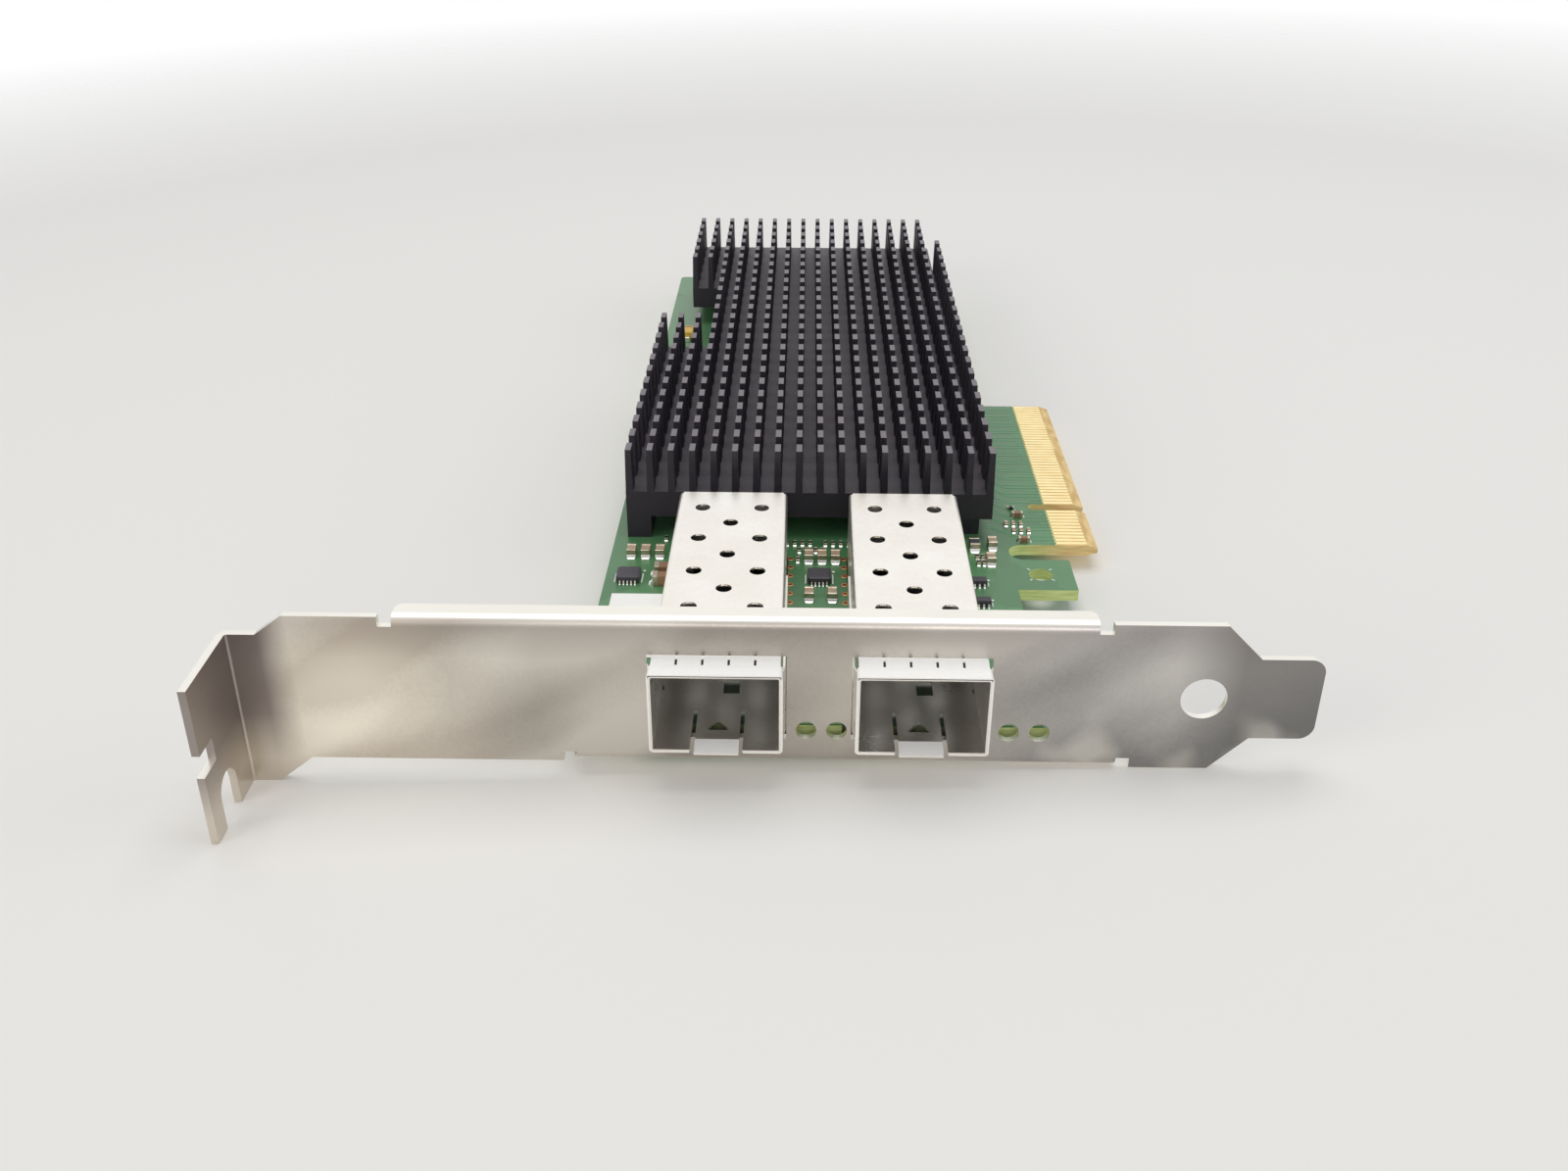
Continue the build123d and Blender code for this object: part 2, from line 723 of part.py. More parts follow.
for side, x in port_x.items():
    save(cage_cover(x), f"{side}_cage_cover")
    save(cage_floor(x), f"{side}_cage_floor")
    save(port_collar(x), f"{side}_port_collar")
    save(host_connector(x), f"{side}_host_connector")
    save(connector_tails(x), f"{side}_connector_tails")

# Status lights: a body on the board with a lens that faces its hole in the bracket
led_y = board_near_y + led_setback
led_xs = [x + led_from_port + i * led_pitch for x in port_x.values() for i in range(2)]
with BuildPart() as status_lights:
    with BuildSketch(Plane.XY):
        with Locations(*[(x, led_y) for x in led_xs]):
            Rectangle(led_width, led_depth, align=(Align.CENTER, Align.MIN))
    extrude(amount=led_height)
    with BuildSketch(Plane.XY):
        with Locations(*[(x, led_y) for x in led_xs]):
            Trapezoid(led_width * 0.8, led_lens, 120, align=(Align.CENTER, Align.MAX), rotation=180)
    extrude(amount=led_height * 0.85)
save(status_lights, "status_lights")


def pin_stands(column, row):
    """Whether the casting has a pin here: not in the side notch or the two far corners."""
    in_notch = column < notch_columns and notch_first_row <= row <= notch_last_row
    far_left = column < far_left_missing and row > notch_last_row
    far_right = column == pin_columns - 1 and row >= pin_rows - far_right_missing_rows
    return not (in_notch or far_left or far_right)


# Heatsink: base with steps and notch, feet on the board, pedestal over the controller, pin fins
notch_x = column_left(notch_columns)
far_left_x = column_left(far_left_missing)
far_right_x = column_left(pin_columns - 1)
far_right_y = row_far(pin_rows - far_right_missing_rows - 1)
notch_near_y = row_far(notch_first_row - 1)
notch_far_y = row_near(notch_last_row + 1)
package_top_z = controller_substrate + controller_lid_height

with BuildPart() as heatsink:
    with BuildSketch(Plane.XY.offset(sink_base_z)):
        with BuildLine():
            Polyline(
                (sink_left_x, sink_near_y),
                (sink_right_x, sink_near_y),
                (sink_right_x, far_right_y),
                (far_right_x, far_right_y),
                (far_right_x, sink_far_y),
                (far_left_x, sink_far_y),
                (far_left_x, notch_far_y),
                (notch_x, notch_far_y),
                (notch_x, notch_near_y),
                (sink_left_x, notch_near_y),
                close=True,
            )
        make_face()
    extrude(amount=sink_base_thickness)
    with BuildSketch(Plane.XY):
        with Locations(*sink_feet):
            Rectangle(foot_block_x, foot_block_y)
    extrude(amount=sink_base_z)
    with BuildSketch(Plane.XY.offset(package_top_z + pad_thickness)):
        with Locations((controller_x, controller_y)):
            Rectangle(controller_lid, controller_lid)
    extrude(amount=sink_base_z - package_top_z - pad_thickness)
    with BuildSketch(Plane.XY):
        with Locations(*sink_feet):
            RegularPolygon(sink_screw_bore / 2, hole_sides)
    extrude(amount=sink_screw_engagement + sink_bore_beyond_screw, mode=Mode.SUBTRACT)
    with BuildSketch(Plane.XY.offset(sink_top_z)):
        with Locations(
            *[
                (pin_x(column), pin_y(row))
                for column in range(pin_columns)
                for row in range(pin_rows)
                if pin_stands(column, row)
            ]
        ):
            Rectangle(pin_root_x, pin_root_y)
    extrude(amount=pin_height, taper=pin_taper)
save(heatsink, "heatsink")

save(
    pan_head_screws(
        sink_feet,
        solder_z,
        -1,
        sink_screw_head,
        sink_screw_head_height,
        sink_screw,
        board_thickness + sink_screw_engagement,
    ),
    "heatsink_screws",
)

# Controller package: substrate with a metal lid, and the pad between it and the heatsink
with BuildPart() as controller_chip:
    with BuildSketch(Plane.XY):
        with Locations((controller_x, controller_y)):
            Rectangle(controller_size, controller_size)
    extrude(amount=controller_substrate)
    with BuildSketch(Plane.XY.offset(controller_substrate)):
        with Locations((controller_x, controller_y)):
            Rectangle(controller_lid, controller_lid)
            chamfer(vertices(), controller_lid_corner)
    extrude(amount=controller_lid_height)
save(controller_chip, "controller_chip")

with BuildPart() as thermal_pad:
    with BuildSketch(Plane.XY.offset(package_top_z)):
        with Locations((controller_x, controller_y)):
            Rectangle(controller_lid - 1, controller_lid - 1)
    extrude(amount=pad_thickness)
save(thermal_pad, "thermal_pad")


def turned(places):
    """Locations for small parts; each place is x, y and whether the part lies along Y."""
    return [Location((x, y, 0), (0, 0, 90 if along_y else 0)) for x, y, along_y in places]


def plain_chips(places, size, level=0, up=1):
    """Tiny or flat parts that are plain blocks at this scale."""
    length, width, height = size
    with BuildPart() as group:
        with BuildSketch(Plane.XY.offset(level)):
            with Locations(*turned(places)):
                Rectangle(length, width)
        extrude(amount=up * height)
    return group


def chip_parts(places, size, level=0, up=1):
    """Chip capacitors: a body between two slightly proud terminals."""
    length, width, height = size
    terminal = terminal_share * length
    end = (length - terminal) / 2
    with BuildPart() as group:
        with BuildSketch(Plane.XY.offset(level)):
            with Locations(*turned(places)):
                Rectangle(length - 2 * terminal_proud, width - 2 * terminal_proud)
        extrude(amount=up * (height - terminal_proud))
        with BuildSketch(Plane.XY.offset(level)):
            with Locations(*turned(places)):
                with Locations((-end, 0), (end, 0)):
                    Rectangle(terminal, width)
        extrude(amount=up * height)
    return group


def leaded_chips(places, body, leads, pitch, lead_width):
    """Moulded chips with gull-wing leads along two sides."""
    length, width, height = body
    middle = height * 0.55
    half = width / 2
    shoulder = half + lead_reach - lead_foot
    with BuildPart() as chip:
        with BuildSketch(Plane.XY.offset(chip_standoff)):
            Rectangle(length, width)
        extrude(amount=height - chip_standoff)
        chamfer(edges().group_by(Axis.Z)[-1], height * 0.12)
        for i in range(leads):
            with BuildSketch(Plane.YZ.offset((i - (leads - 1) / 2) * pitch - lead_width / 2)):
                for side in (-1, 1):
                    with BuildLine():
                        Polyline(
                            (side * half * 0.8, middle),
                            (side * shoulder, middle),
                            (side * (shoulder + lead_thickness), lead_thickness),
                            (side * (half + lead_reach), lead_thickness),
                            (side * (half + lead_reach), 0),
                            (side * shoulder, 0),
                            (side * (shoulder - lead_thickness), middle - lead_thickness),
                            (side * half * 0.8, middle - lead_thickness),
                            close=True,
                        )
                    make_face()
            extrude(amount=lead_width)
    with BuildPart() as group:
        with Locations(*turned(places)):
            add(chip.part)
    return group


# Parts near the ports, placed from the cages and the bracket's front face
between_ports_x = (port_x["left"] + port_x["right"]) / 2
left_strip_x = port_x["left"] - cage_width / 2 - 5.0
right_strip_x = port_x["right"] + cage_width / 2 + 5.45
driver_y = bracket_y + 36.1
filter_places = [(left_strip_x + dx, bracket_y + 42.8, True) for dx in (-1.95, 0, 1.95)]
filter_places += [(between_ports_x + dx, bracket_y + 41.8, True) for dx in (-1.15, 0.65, 2.45)]
filter_places += [(between_ports_x + dx, bracket_y + 31.2, True) for dx in (-1.1, 1.9)]
filter_places += [(right_strip_x + dx, bracket_y + y, True) for dx, y in ((0.35, 46.2), (-0.3, 41.5))]
save(chip_parts(filter_places, filter_part), "filter_capacitors")

storage_places = [(left_strip_x + 3.3, driver_y + dy, False) for dy in (1.3, -1.4)]
save(chip_parts(storage_places, storage_part), "storage_capacitors")

driver_places = [(left_strip_x - 1.65, driver_y, False), (between_ports_x + 0.25, driver_y + 0.2, False)]
save(
    leaded_chips(driver_places, driver_body, driver_leads, driver_lead_pitch, driver_lead_width),
    "port_driver_chips",
)

translator_places = [(right_strip_x - 2.5, bracket_y + y, False) for y in (35.3, 29.9)]
save(
    leaded_chips(
        translator_places,
        translator_body,
        translator_leads,
        translator_lead_pitch,
        translator_lead_width,
    ),
    "level_translator_chips",
)

with BuildPart() as signal_choke:
    with BuildSketch(Plane.XY):
        with Locations((right_strip_x - 2.15, bracket_y + 45.7)):
            Rectangle(choke_size[0], choke_size[1])
        chamfer(vertices(), choke_corner)
    extrude(amount=choke_size[2])
save(signal_choke, "signal_choke")

first_resistor_x = between_ports_x - 4.15
resistor_places = [(first_resistor_x + 1.06 * i, bracket_y + 46.3, True) for i in (0, 1, 2, 3, 5, 6, 7, 8)]
resistor_places += [(first_resistor_x + dx, bracket_y + 44.2, True) for dx in (1.7, 2.7, 3.95, 4.9)]
resistor_places += [(first_resistor_x + 1.5, bracket_y + 41.4, True)]
resistor_places += [(left_strip_x + 2.4, bracket_y + 47.4, True)]
resistor_places += [(right_strip_x + dx, bracket_y + y, True) for dx in (-2.0, -1.25) for y in (42.8, 41.0)]
resistor_places += [(lower_edge_x + 1.75, contact_near_y + 11.3, False)]
save(plain_chips(resistor_places, small_part), "small_resistors")

# Coupling capacitors of the contact edge: two staggered rows of small ones between two larger ones
coupling_rows = [(lower_edge_x + 0.5, contact_near_y + 6.1), (lower_edge_x + 1.35, contact_near_y + 4.0)]
coupling_places = [(x + 1.05 * i, y, True) for x, y in coupling_rows for i in range(3)]
larger_coupling_places = [(lower_edge_x + 2.4, contact_near_y + dy, False) for dy in (8.9, 1.0)]
with BuildPart() as coupling_capacitors:
    add(plain_chips(coupling_places, small_part).part)
    add(plain_chips(larger_coupling_places, medium_part).part)
save(coupling_capacitors, "coupling_capacitors")

with BuildPart() as tantalum_capacitor:
    with BuildSketch(Plane.XY):
        with Locations((pin_x(0) + 1.6, (notch_near_y + notch_far_y) / 2 + 8)):
            Rectangle(tantalum_size[1], tantalum_size[0])
    extrude(amount=tantalum_size[2])
    chamfer(faces().sort_by(Axis.Z)[-1].edges(), 0.2)
save(tantalum_capacitor, "tantalum_capacitor")

# Parts under the heatsink that clear its base
memory_places = [(pin_x(3), pin_y(3), True)]
save(
    leaded_chips(memory_places, memory_body, memory_leads, memory_lead_pitch, memory_lead_width),
    "firmware_memory",
)
regulator_places = [(pin_x(5), pin_y(15), False), (pin_x(11), pin_y(15), False)]
save(plain_chips(regulator_places, regulator_body), "voltage_regulators")
with BuildPart() as power_chokes:
    for column in (5, 11):
        with BuildSketch(Plane.XY):
            with Locations((pin_x(column), pin_y(18))):
                Rectangle(power_choke_size[0], power_choke_size[1])
            chamfer(vertices(), power_choke_corner)
        extrude(amount=power_choke_size[2])
save(power_chokes, "power_chokes")

with BuildPart() as clock_crystal:
    with BuildSketch(Plane.XY):
        with Locations((pin_x(4), pin_y(8))):
            Rectangle(crystal_size[1], crystal_size[0])
    extrude(amount=crystal_size[2] - crystal_lid[2])
    with BuildSketch(Plane.XY.offset(crystal_size[2] - crystal_lid[2])):
        with Locations((pin_x(4), pin_y(8))):
            Rectangle(crystal_lid[1], crystal_lid[0])
    extrude(amount=crystal_lid[2])
save(clock_crystal, "clock_crystal")

# Decoupling capacitors on the solder side, under the controller
decoupling_places = [
    (controller_x - 7.5 + 3 * i, controller_y - 7.5 + 3 * j, True) for i in range(6) for j in range(6)
]
save(plain_chips(decoupling_places, medium_part, solder_z, -1), "decoupling_capacitors")

# Paper label, bare
with BuildPart() as paper_label:
    with BuildSketch(Plane.XY):
        with Locations((left_strip_x - 3.4, bracket_y + 31.7)):
            Rectangle(label_size[0], label_size[1], align=(Align.MIN, Align.MAX))
    extrude(amount=label_size[2])
save(paper_label, "paper_label")
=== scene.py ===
# %% [markdown]
# # A network interface card, dressed in Blender
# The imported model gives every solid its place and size. This lesson adds the looks: the camera, the
# light, a finish for each surface, and small soldered and printed details that are too fine for solids.
# Everything is in metres, in the model's own frame: +X leaves the contact edge, +Y runs along the board
# away from the bracket, and +Z stands on the component face.

# %% Load the frame
import json
import math

import bmesh
import bpy
from mathutils import Matrix, Vector


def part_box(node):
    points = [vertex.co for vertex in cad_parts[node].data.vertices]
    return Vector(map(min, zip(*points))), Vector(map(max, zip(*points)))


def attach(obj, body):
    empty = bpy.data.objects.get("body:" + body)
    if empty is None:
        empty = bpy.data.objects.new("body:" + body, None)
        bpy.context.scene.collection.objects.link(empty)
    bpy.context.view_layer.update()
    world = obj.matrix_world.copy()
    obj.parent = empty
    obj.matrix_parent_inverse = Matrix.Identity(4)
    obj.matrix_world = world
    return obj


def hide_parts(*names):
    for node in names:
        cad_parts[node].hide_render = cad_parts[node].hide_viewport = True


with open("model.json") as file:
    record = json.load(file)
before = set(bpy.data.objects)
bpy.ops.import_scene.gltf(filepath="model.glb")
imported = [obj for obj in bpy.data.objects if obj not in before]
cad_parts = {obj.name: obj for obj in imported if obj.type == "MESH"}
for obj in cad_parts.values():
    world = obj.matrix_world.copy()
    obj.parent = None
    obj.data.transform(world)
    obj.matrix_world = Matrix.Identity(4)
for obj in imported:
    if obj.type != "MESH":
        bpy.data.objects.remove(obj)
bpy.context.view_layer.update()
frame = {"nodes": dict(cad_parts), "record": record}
nodes = frame["nodes"]
MM = 0.001
ROOT = "root"


def middle_of(box):
    """The middle of a box, given as its lowest and highest corner."""
    return (box[0] + box[1]) / 2


def add_object(name, data):
    """A new object in the scene, at the origin."""
    made = bpy.data.objects.new(name, data)
    bpy.context.scene.collection.objects.link(made)
    return made


print("nodes:", len(nodes))

# %% [markdown]
# ## The camera
# The photograph was taken by hand from in front of the bracket, looking down on the card. Its place,
# turn and focal length were worked out from standard sizes on the card, so the script only states them.

# %% Camera
PHOTO_WIDTH = 1600
FOCAL_PIXELS = 1517.5
SENSOR = 36.0
CLIP_NEAR = 0.005
CLIP_FAR = 10.0
CAMERA_PLACE = Vector((-40.97, -196.35, 94.45)) * MM
PITCH_DOWN = math.radians(28.80)
YAW = math.radians(-0.81)
ROLL = math.radians(0.23)

forward = Vector(
    (
        math.sin(YAW) * math.cos(PITCH_DOWN),
        math.cos(YAW) * math.cos(PITCH_DOWN),
        -math.sin(PITCH_DOWN),
    )
)
level_right = Vector((math.cos(YAW), -math.sin(YAW), 0))
level_up = level_right.cross(forward)
right = level_right * math.cos(ROLL) + level_up * math.sin(ROLL)
up = level_up * math.cos(ROLL) - level_right * math.sin(ROLL)

camera_data = bpy.data.cameras.new("photo_camera")
camera_data.sensor_fit = "HORIZONTAL"
camera_data.sensor_width = SENSOR
camera_data.lens = FOCAL_PIXELS / PHOTO_WIDTH * SENSOR
camera_data.clip_start = CLIP_NEAR
camera_data.clip_end = CLIP_FAR
camera = add_object("photo_camera", camera_data)
camera_turn = Matrix((right, up, -forward)).transposed().to_4x4()
camera.matrix_world = Matrix.Translation(CAMERA_PLACE) @ camera_turn
bpy.context.scene.camera = camera
print("lens:", round(camera_data.lens, 2), "mm")

# %% [markdown]
# ## The floor
# The card doesn't lie flat: it rests on the low corner of its screw tab, on the bracket's edge and on a
# screw head at the far end. The floor is the plane through those three points, so it slopes by two
# degrees, and each touching point gets its own contact shadow.

# %% Floor through the three points of rest
FLOOR_REACH = 3.0
FLOOR_GAP = 0.02 * MM


def lowest(node, keep):
    """The lowest vertex of a node among those that keep accepts."""
    return min((v.co.copy() for v in nodes[node].data.vertices if keep(v.co)), key=lambda co: co.z)


bracket_middle_x = middle_of(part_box("bracket")).x
contact_tip_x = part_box("circuit_board")[1].x
screw_middle = middle_of(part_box("heatsink_screws"))
tab_foot = lowest("bracket", lambda co: co.x < bracket_middle_x)
edge_foot = lowest("bracket", lambda co: co.x > contact_tip_x)
far_foot = lowest("heatsink_screws", lambda co: co.y > screw_middle.y and co.x > screw_middle.x)
floor_normal = (edge_foot - tab_foot).cross(far_foot - tab_foot).normalized()


def floor_height(x, y):
    flat = Vector((x - tab_foot.x, y - tab_foot.y, 0))
    return tab_foot.z - floor_normal.dot(flat) / floor_normal.z - FLOOR_GAP


corners = [(x * FLOOR_REACH, y * FLOOR_REACH) for x, y in ((-1, -1), (1, -1), (1, 1), (-1, 1))]
floor_mesh = bpy.data.meshes.new("floor")
floor_mesh.from_pydata([(x, y, floor_height(x, y)) for x, y in corners], [], [(0, 1, 2, 3)])
floor = add_object("floor", floor_mesh)
print("floor slope:", round(math.degrees(floor_normal.angle(Vector((0, 0, 1)))), 2), "degrees")

# %% [markdown]
# ## Adding nodes
# The world, the finishes, the effects that they share and the tree that sets copies on points are all
# made of nodes, so one class adds nodes to any of them. What it is given for an input is linked when it
# is another node's socket, and set when it is a number, a vector, a colour or a text.

# %% A helper for every node tree
class Nodes:
    """Adds nodes to a tree. Its place is the vector that the patterns of the tree follow."""

    def __init__(self, tree):
        self.tree = tree
        self.place = None

    def put(self, value, socket):
        if isinstance(value, bpy.types.NodeSocket):
            self.tree.links.new(value, socket)
        else:
            socket.default_value = (*value, 1) if socket.type == "RGBA" else value

    def node(self, kind, inputs=(), **settings):
        """A node with its settings, which decide what sockets it has, and its inputs."""
        made = self.tree.nodes.new(kind)
        for key, value in settings.items():
            setattr(made, key, value)
        for key, value in dict(inputs).items():
            self.put(value, made.inputs[key])
        return made

    def socket(self, name, kind, in_out="INPUT"):
        """A named socket of a node group."""
        return self.tree.interface.new_socket(name, in_out=in_out, socket_type=f"NodeSocket{kind}")

    def math(self, operation, *values):
        return self.node("ShaderNodeMath", enumerate(values), operation=operation).outputs[0]

    def mix(self, factor, first, second):
        """A colour between two colours or sockets."""
        return self.node("ShaderNodeMix", {0: factor, 6: first, 7: second}, data_type="RGBA").outputs[2]

    def mix_shaders(self, factor, first, second):
        inputs = {0: factor, 1: first.outputs[0], 2: second.outputs[0]}
        return self.node("ShaderNodeMixShader", inputs).outputs[0]

    def noise(self, scale, detail=2.0, roughness=0.5, vector=None):
        inputs = {"Vector": vector or self.place, "Scale": scale, "Detail": detail, "Roughness": roughness}
        return self.node("ShaderNodeTexNoise", inputs).outputs["Fac"]

    def ramp(self, value, low, high, to_low=0.0, to_high=1.0):
        inputs = {"Value": value, "From Min": low, "From Max": high, "To Min": to_low, "To Max": to_high}
        return self.node("ShaderNodeMapRange", inputs).outputs["Result"]

    def stretched(self, scale):
        """Coordinates drawn out along some axes, for brushed or rolled metal."""
        return self.node("ShaderNodeMapping", {"Vector": self.place, "Scale": scale}).outputs["Vector"]

    def slanted(self, sizes, angle, middle=(0.0, 0.0, 0.0)):
        """Coordinates from a middle, turned about Y and counted in features of the given sizes."""
        inputs = {"Vector": self.place, "Location": middle, "Rotation": (0.0, angle, 0.0), "Scale": sizes}
        return self.node("ShaderNodeMapping", inputs, vector_type="TEXTURE").outputs["Vector"]

    def place_part(self, axis):
        """One part of the coordinates, in metres."""
        return self.node("ShaderNodeSeparateXYZ", {0: self.place}).outputs[axis]

    def normal_part(self, axis):
        """One part of the surface normal; pieces are never turned, so this is the model's own."""
        normal = self.node("ShaderNodeNewGeometry").outputs["Normal"]
        return self.node("ShaderNodeSeparateXYZ", {0: normal}).outputs[axis]


# %% [markdown]
# ## Light
# Plain metal shows what is round it more than its own colour. So the world is a soft grey for lighting
# and a clean white where the camera or a reflection looks at it, and large lamps give the forms their
# direction: one overhead, a warm one at the left front and a weak one at the right. A fourth lamp at the
# front reaches into the mouths of the ports. A fifth one under the floor reaches only what looks down, so
# that the solder side isn't lost when it is seen from below.

# %% World and lamps
world = bpy.data.worlds.new("studio")
bpy.context.scene.world = world
world.use_nodes = True
sky = Nodes(world.node_tree)
sky.tree.nodes.clear()
rays = sky.node("ShaderNodeLightPath").outputs
seen = sky.math("MAXIMUM", rays["Is Camera Ray"], rays["Is Glossy Ray"])
seen = sky.math("MAXIMUM", seen, rays["Is Transmission Ray"])
ambient = sky.node("ShaderNodeBackground", {"Color": (0.93, 0.96, 1.0), "Strength": 0.42})
backdrop = sky.node("ShaderNodeBackground", {"Color": (1, 1, 1), "Strength": 1.0})
sky.node("ShaderNodeOutputWorld", {"Surface": sky.mix_shaders(seen, ambient, backdrop)})

CARD_MIDDLE = Vector((-0.04, 0.0, 0.0))


def lamp(name, place, size, power, color):
    """A square lamp that points at the middle of the card."""
    data = bpy.data.lights.new(name, "AREA")
    data.shape = "SQUARE"
    data.size = size
    data.energy = power
    data.color = color
    light = add_object(name, data)
    light.location = place
    light.rotation_euler = (CARD_MIDDLE - Vector(place)).to_track_quat("-Z", "Y").to_euler()


lamp("overhead", (-0.05, 0.10, 0.75), 0.60, 2.6, (1.0, 0.98, 0.95))
lamp("left_front", (-0.65, -0.50, 0.35), 0.45, 1.3, (1.0, 0.94, 0.86))
lamp("right_side", (0.60, -0.10, 0.40), 0.50, 0.6, (0.95, 0.97, 1.0))
lamp("front", (0.02, -0.80, 0.36), 0.35, 0.8, (1.0, 0.98, 0.95))
lamp("from_below", (-0.05, 0.05, -0.70), 0.60, 1.6, (1.0, 1.0, 1.0))
bpy.context.scene.view_settings.view_transform = "Standard"

# %% [markdown]
# ## Building materials with nodes
# Each finish is a Principled surface with values that change over it. Effects that several finishes use
# are node groups that put out only values and normals.

# %% Finishes and shared effects
finishes = {}


class Shading(Nodes):
    """A material, kept in finishes by its name, with its Principled shader."""

    def __init__(self, name, **inputs):
        finishes[name] = bpy.data.materials.new(name)
        finishes[name].use_nodes = True
        super().__init__(finishes[name].node_tree)
        self.place = self.node("ShaderNodeTexCoord").outputs["Object"]
        self.shader = self.tree.nodes["Principled BSDF"]
        self.feed(**inputs)

    def feed(self, **inputs):
        """Gives the shader its inputs, written with _ where their names have a space."""
        for key, value in inputs.items():
            self.put(value, self.shader.inputs[key.replace("_", " ")])

    def group(self, effect, **numbers):
        """Places a shared effect with its own numbers."""
        inputs = {"Vector": self.place, **numbers}
        return self.node("ShaderNodeGroup", inputs, node_tree=effect.tree).outputs[0]


class Effect(Nodes):
    """A node group with a vector, named numbers with their defaults, and one result."""

    def __init__(self, name, **numbers):
        super().__init__(bpy.data.node_groups.new(name, "ShaderNodeTree"))
        self.socket("Vector", "Vector")
        for key, value in numbers.items():
            self.socket(key, "Float").default_value = value
        self.given = self.node("NodeGroupInput").outputs
        self.place = self.given["Vector"]

    def put_out(self, name, kind, value):
        self.socket(name, kind, "OUTPUT")
        self.node("NodeGroupOutput", {name: value})


# %% [markdown]
# ## Shared effects
# Plated sheet, castings and mouldings are never perfectly even. Mottle gives soft patches, and relief
# turns fine grain into a slight bump. Both are small groups that each material places with its own sizes.

# %% Shared effect: mottle
mottle = Effect("mottle", patch_scale=100.0, speck_scale=1500.0, speck_share=0.3)
patches = mottle.noise(mottle.given["patch_scale"], 3.0)
specks = mottle.noise(mottle.given["speck_scale"], 2.0)
blend = mottle.node("ShaderNodeMix", {0: mottle.given["speck_share"], 2: patches, 3: specks})
mottle.put_out("Value", "Float", blend.outputs[0])
print("shared effect:", mottle.tree.name)

# %% Shared effect: relief
relief = Effect("relief", wave_scale=60.0, wave_height=0.0, grain_scale=3000.0, grain_height=1e-5)
waves = relief.math("MULTIPLY", relief.noise(relief.given["wave_scale"], 1.0), relief.given["wave_height"])
grain = relief.noise(relief.given["grain_scale"], 2.0)
grain_on_waves = relief.math("MULTIPLY_ADD", grain, relief.given["grain_height"], waves)
bump = relief.node("ShaderNodeBump", {"Strength": 1.0, "Distance": 1.0, "Height": grain_on_waves})
relief.put_out("Normal", "Vector", bump.outputs["Normal"])
print("shared effect:", relief.tree.name)


# %% [markdown]
# ## Metal finishes
# The bracket is thin sheet with a satin nickel plate: grey and a little warm, with cloudy patches that are
# partly its own mottle and partly painted reflections. The cages are brighter, the collars are spring strip
# with a painted highlight on their upward faces, and the heatsink is a casting with tapered pins and a black
# anodised skin with a trace of violet, with painted sheen on its upward faces.

# %% Plated sheet
# Matt white stands in for a highlight, a painted highlight; the slit colour is painted shade.
MATT_HIGHLIGHT_WHITE = (0.97, 0.97, 0.96)
SLIT_SHADE = (0.03, 0.027, 0.025)
MOUTH_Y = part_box("left_port_collar")[1].y
UNDER_CAGE_TOP_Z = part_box("left_cage_cover")[1].z - 0.1 * MM


def plated_sheet(
    name, dark, light, roughness, spread, patch_scale=90.0, grain=2e-6, waves=0.0, satin=None, shade_mask=None
):
    """Matt highlight gives where the plate turns matt white, a painted highlight;
    the shade mask gives where painted shade darkens it.
    """
    s = Shading(name, Metallic=1.0)
    cloud = s.group(mottle, patch_scale=patch_scale, speck_scale=1800.0, speck_share=0.25)
    color = s.mix(s.ramp(cloud, 0.35, 0.65), dark, light)
    if satin:
        matt = satin(s)
        s.feed(Metallic=s.ramp(matt, 0.0, 1.0, 1.0, 0.0))
        color = s.mix(matt, color, MATT_HIGHLIGHT_WHITE)
    if shade_mask:
        color = s.mix(shade_mask(s), color, SLIT_SHADE)
    s.feed(
        Base_Color=color,
        Roughness=s.ramp(cloud, 0.3, 0.7, roughness + spread, roughness - spread),
        Normal=s.group(relief, wave_scale=70.0, wave_height=waves, grain_scale=2500.0, grain_height=grain),
    )


def lip_slope(s):
    """1 on faces that lean towards the mouth, such as the latch lip, which gets a painted highlight."""
    leaning = s.ramp(s.normal_part("Y"), -0.10, -0.20)
    return s.math("MULTIPLY", leaning, s.ramp(s.normal_part("Z"), 0.5, 0.9))


def under_collar(s):
    """1 on the cage's top behind its mouth, seen only through the slits between the fingers: painted shade.
    """
    on_top = s.math("GREATER_THAN", s.place_part("Z"), UNDER_CAGE_TOP_Z)
    return s.math("MULTIPLY", on_top, s.math("LESS_THAN", s.place_part("Y"), MOUTH_Y))


def finger_tops(s):
    """1 on faces that look up, where the sprung fingers get a painted highlight in matt white."""
    return s.ramp(s.normal_part("Z"), 0.2, 0.6)


# Each row has the darkest and lightest colour, the roughness, its spread and the patches in a metre.
plated = {
    "screw_metal": ((0.56, 0.54, 0.50), (0.70, 0.68, 0.64), 0.28, 0.06),
    "chip_metal": ((0.60, 0.60, 0.60), (0.72, 0.72, 0.71), 0.34, 0.05),
    "tinned_end": ((0.44, 0.37, 0.28), (0.62, 0.54, 0.44), 0.42, 0.06, 900.0),
    "bright_solder": ((0.84, 0.84, 0.83), (0.95, 0.95, 0.94), 0.20, 0.05, 900.0),
    "solder": ((0.70, 0.68, 0.64), (0.86, 0.84, 0.80), 0.32, 0.06, 900.0),
    "copper": ((0.50, 0.19, 0.07), (0.74, 0.32, 0.13), 0.38, 0.08, 900.0),
}
for name, values in plated.items():
    plated_sheet(name, *values)
cage_tones = ((0.80, 0.76, 0.70), (0.91, 0.89, 0.84))
spring_tones = ((0.93, 0.91, 0.87), (1.0, 0.98, 0.94))
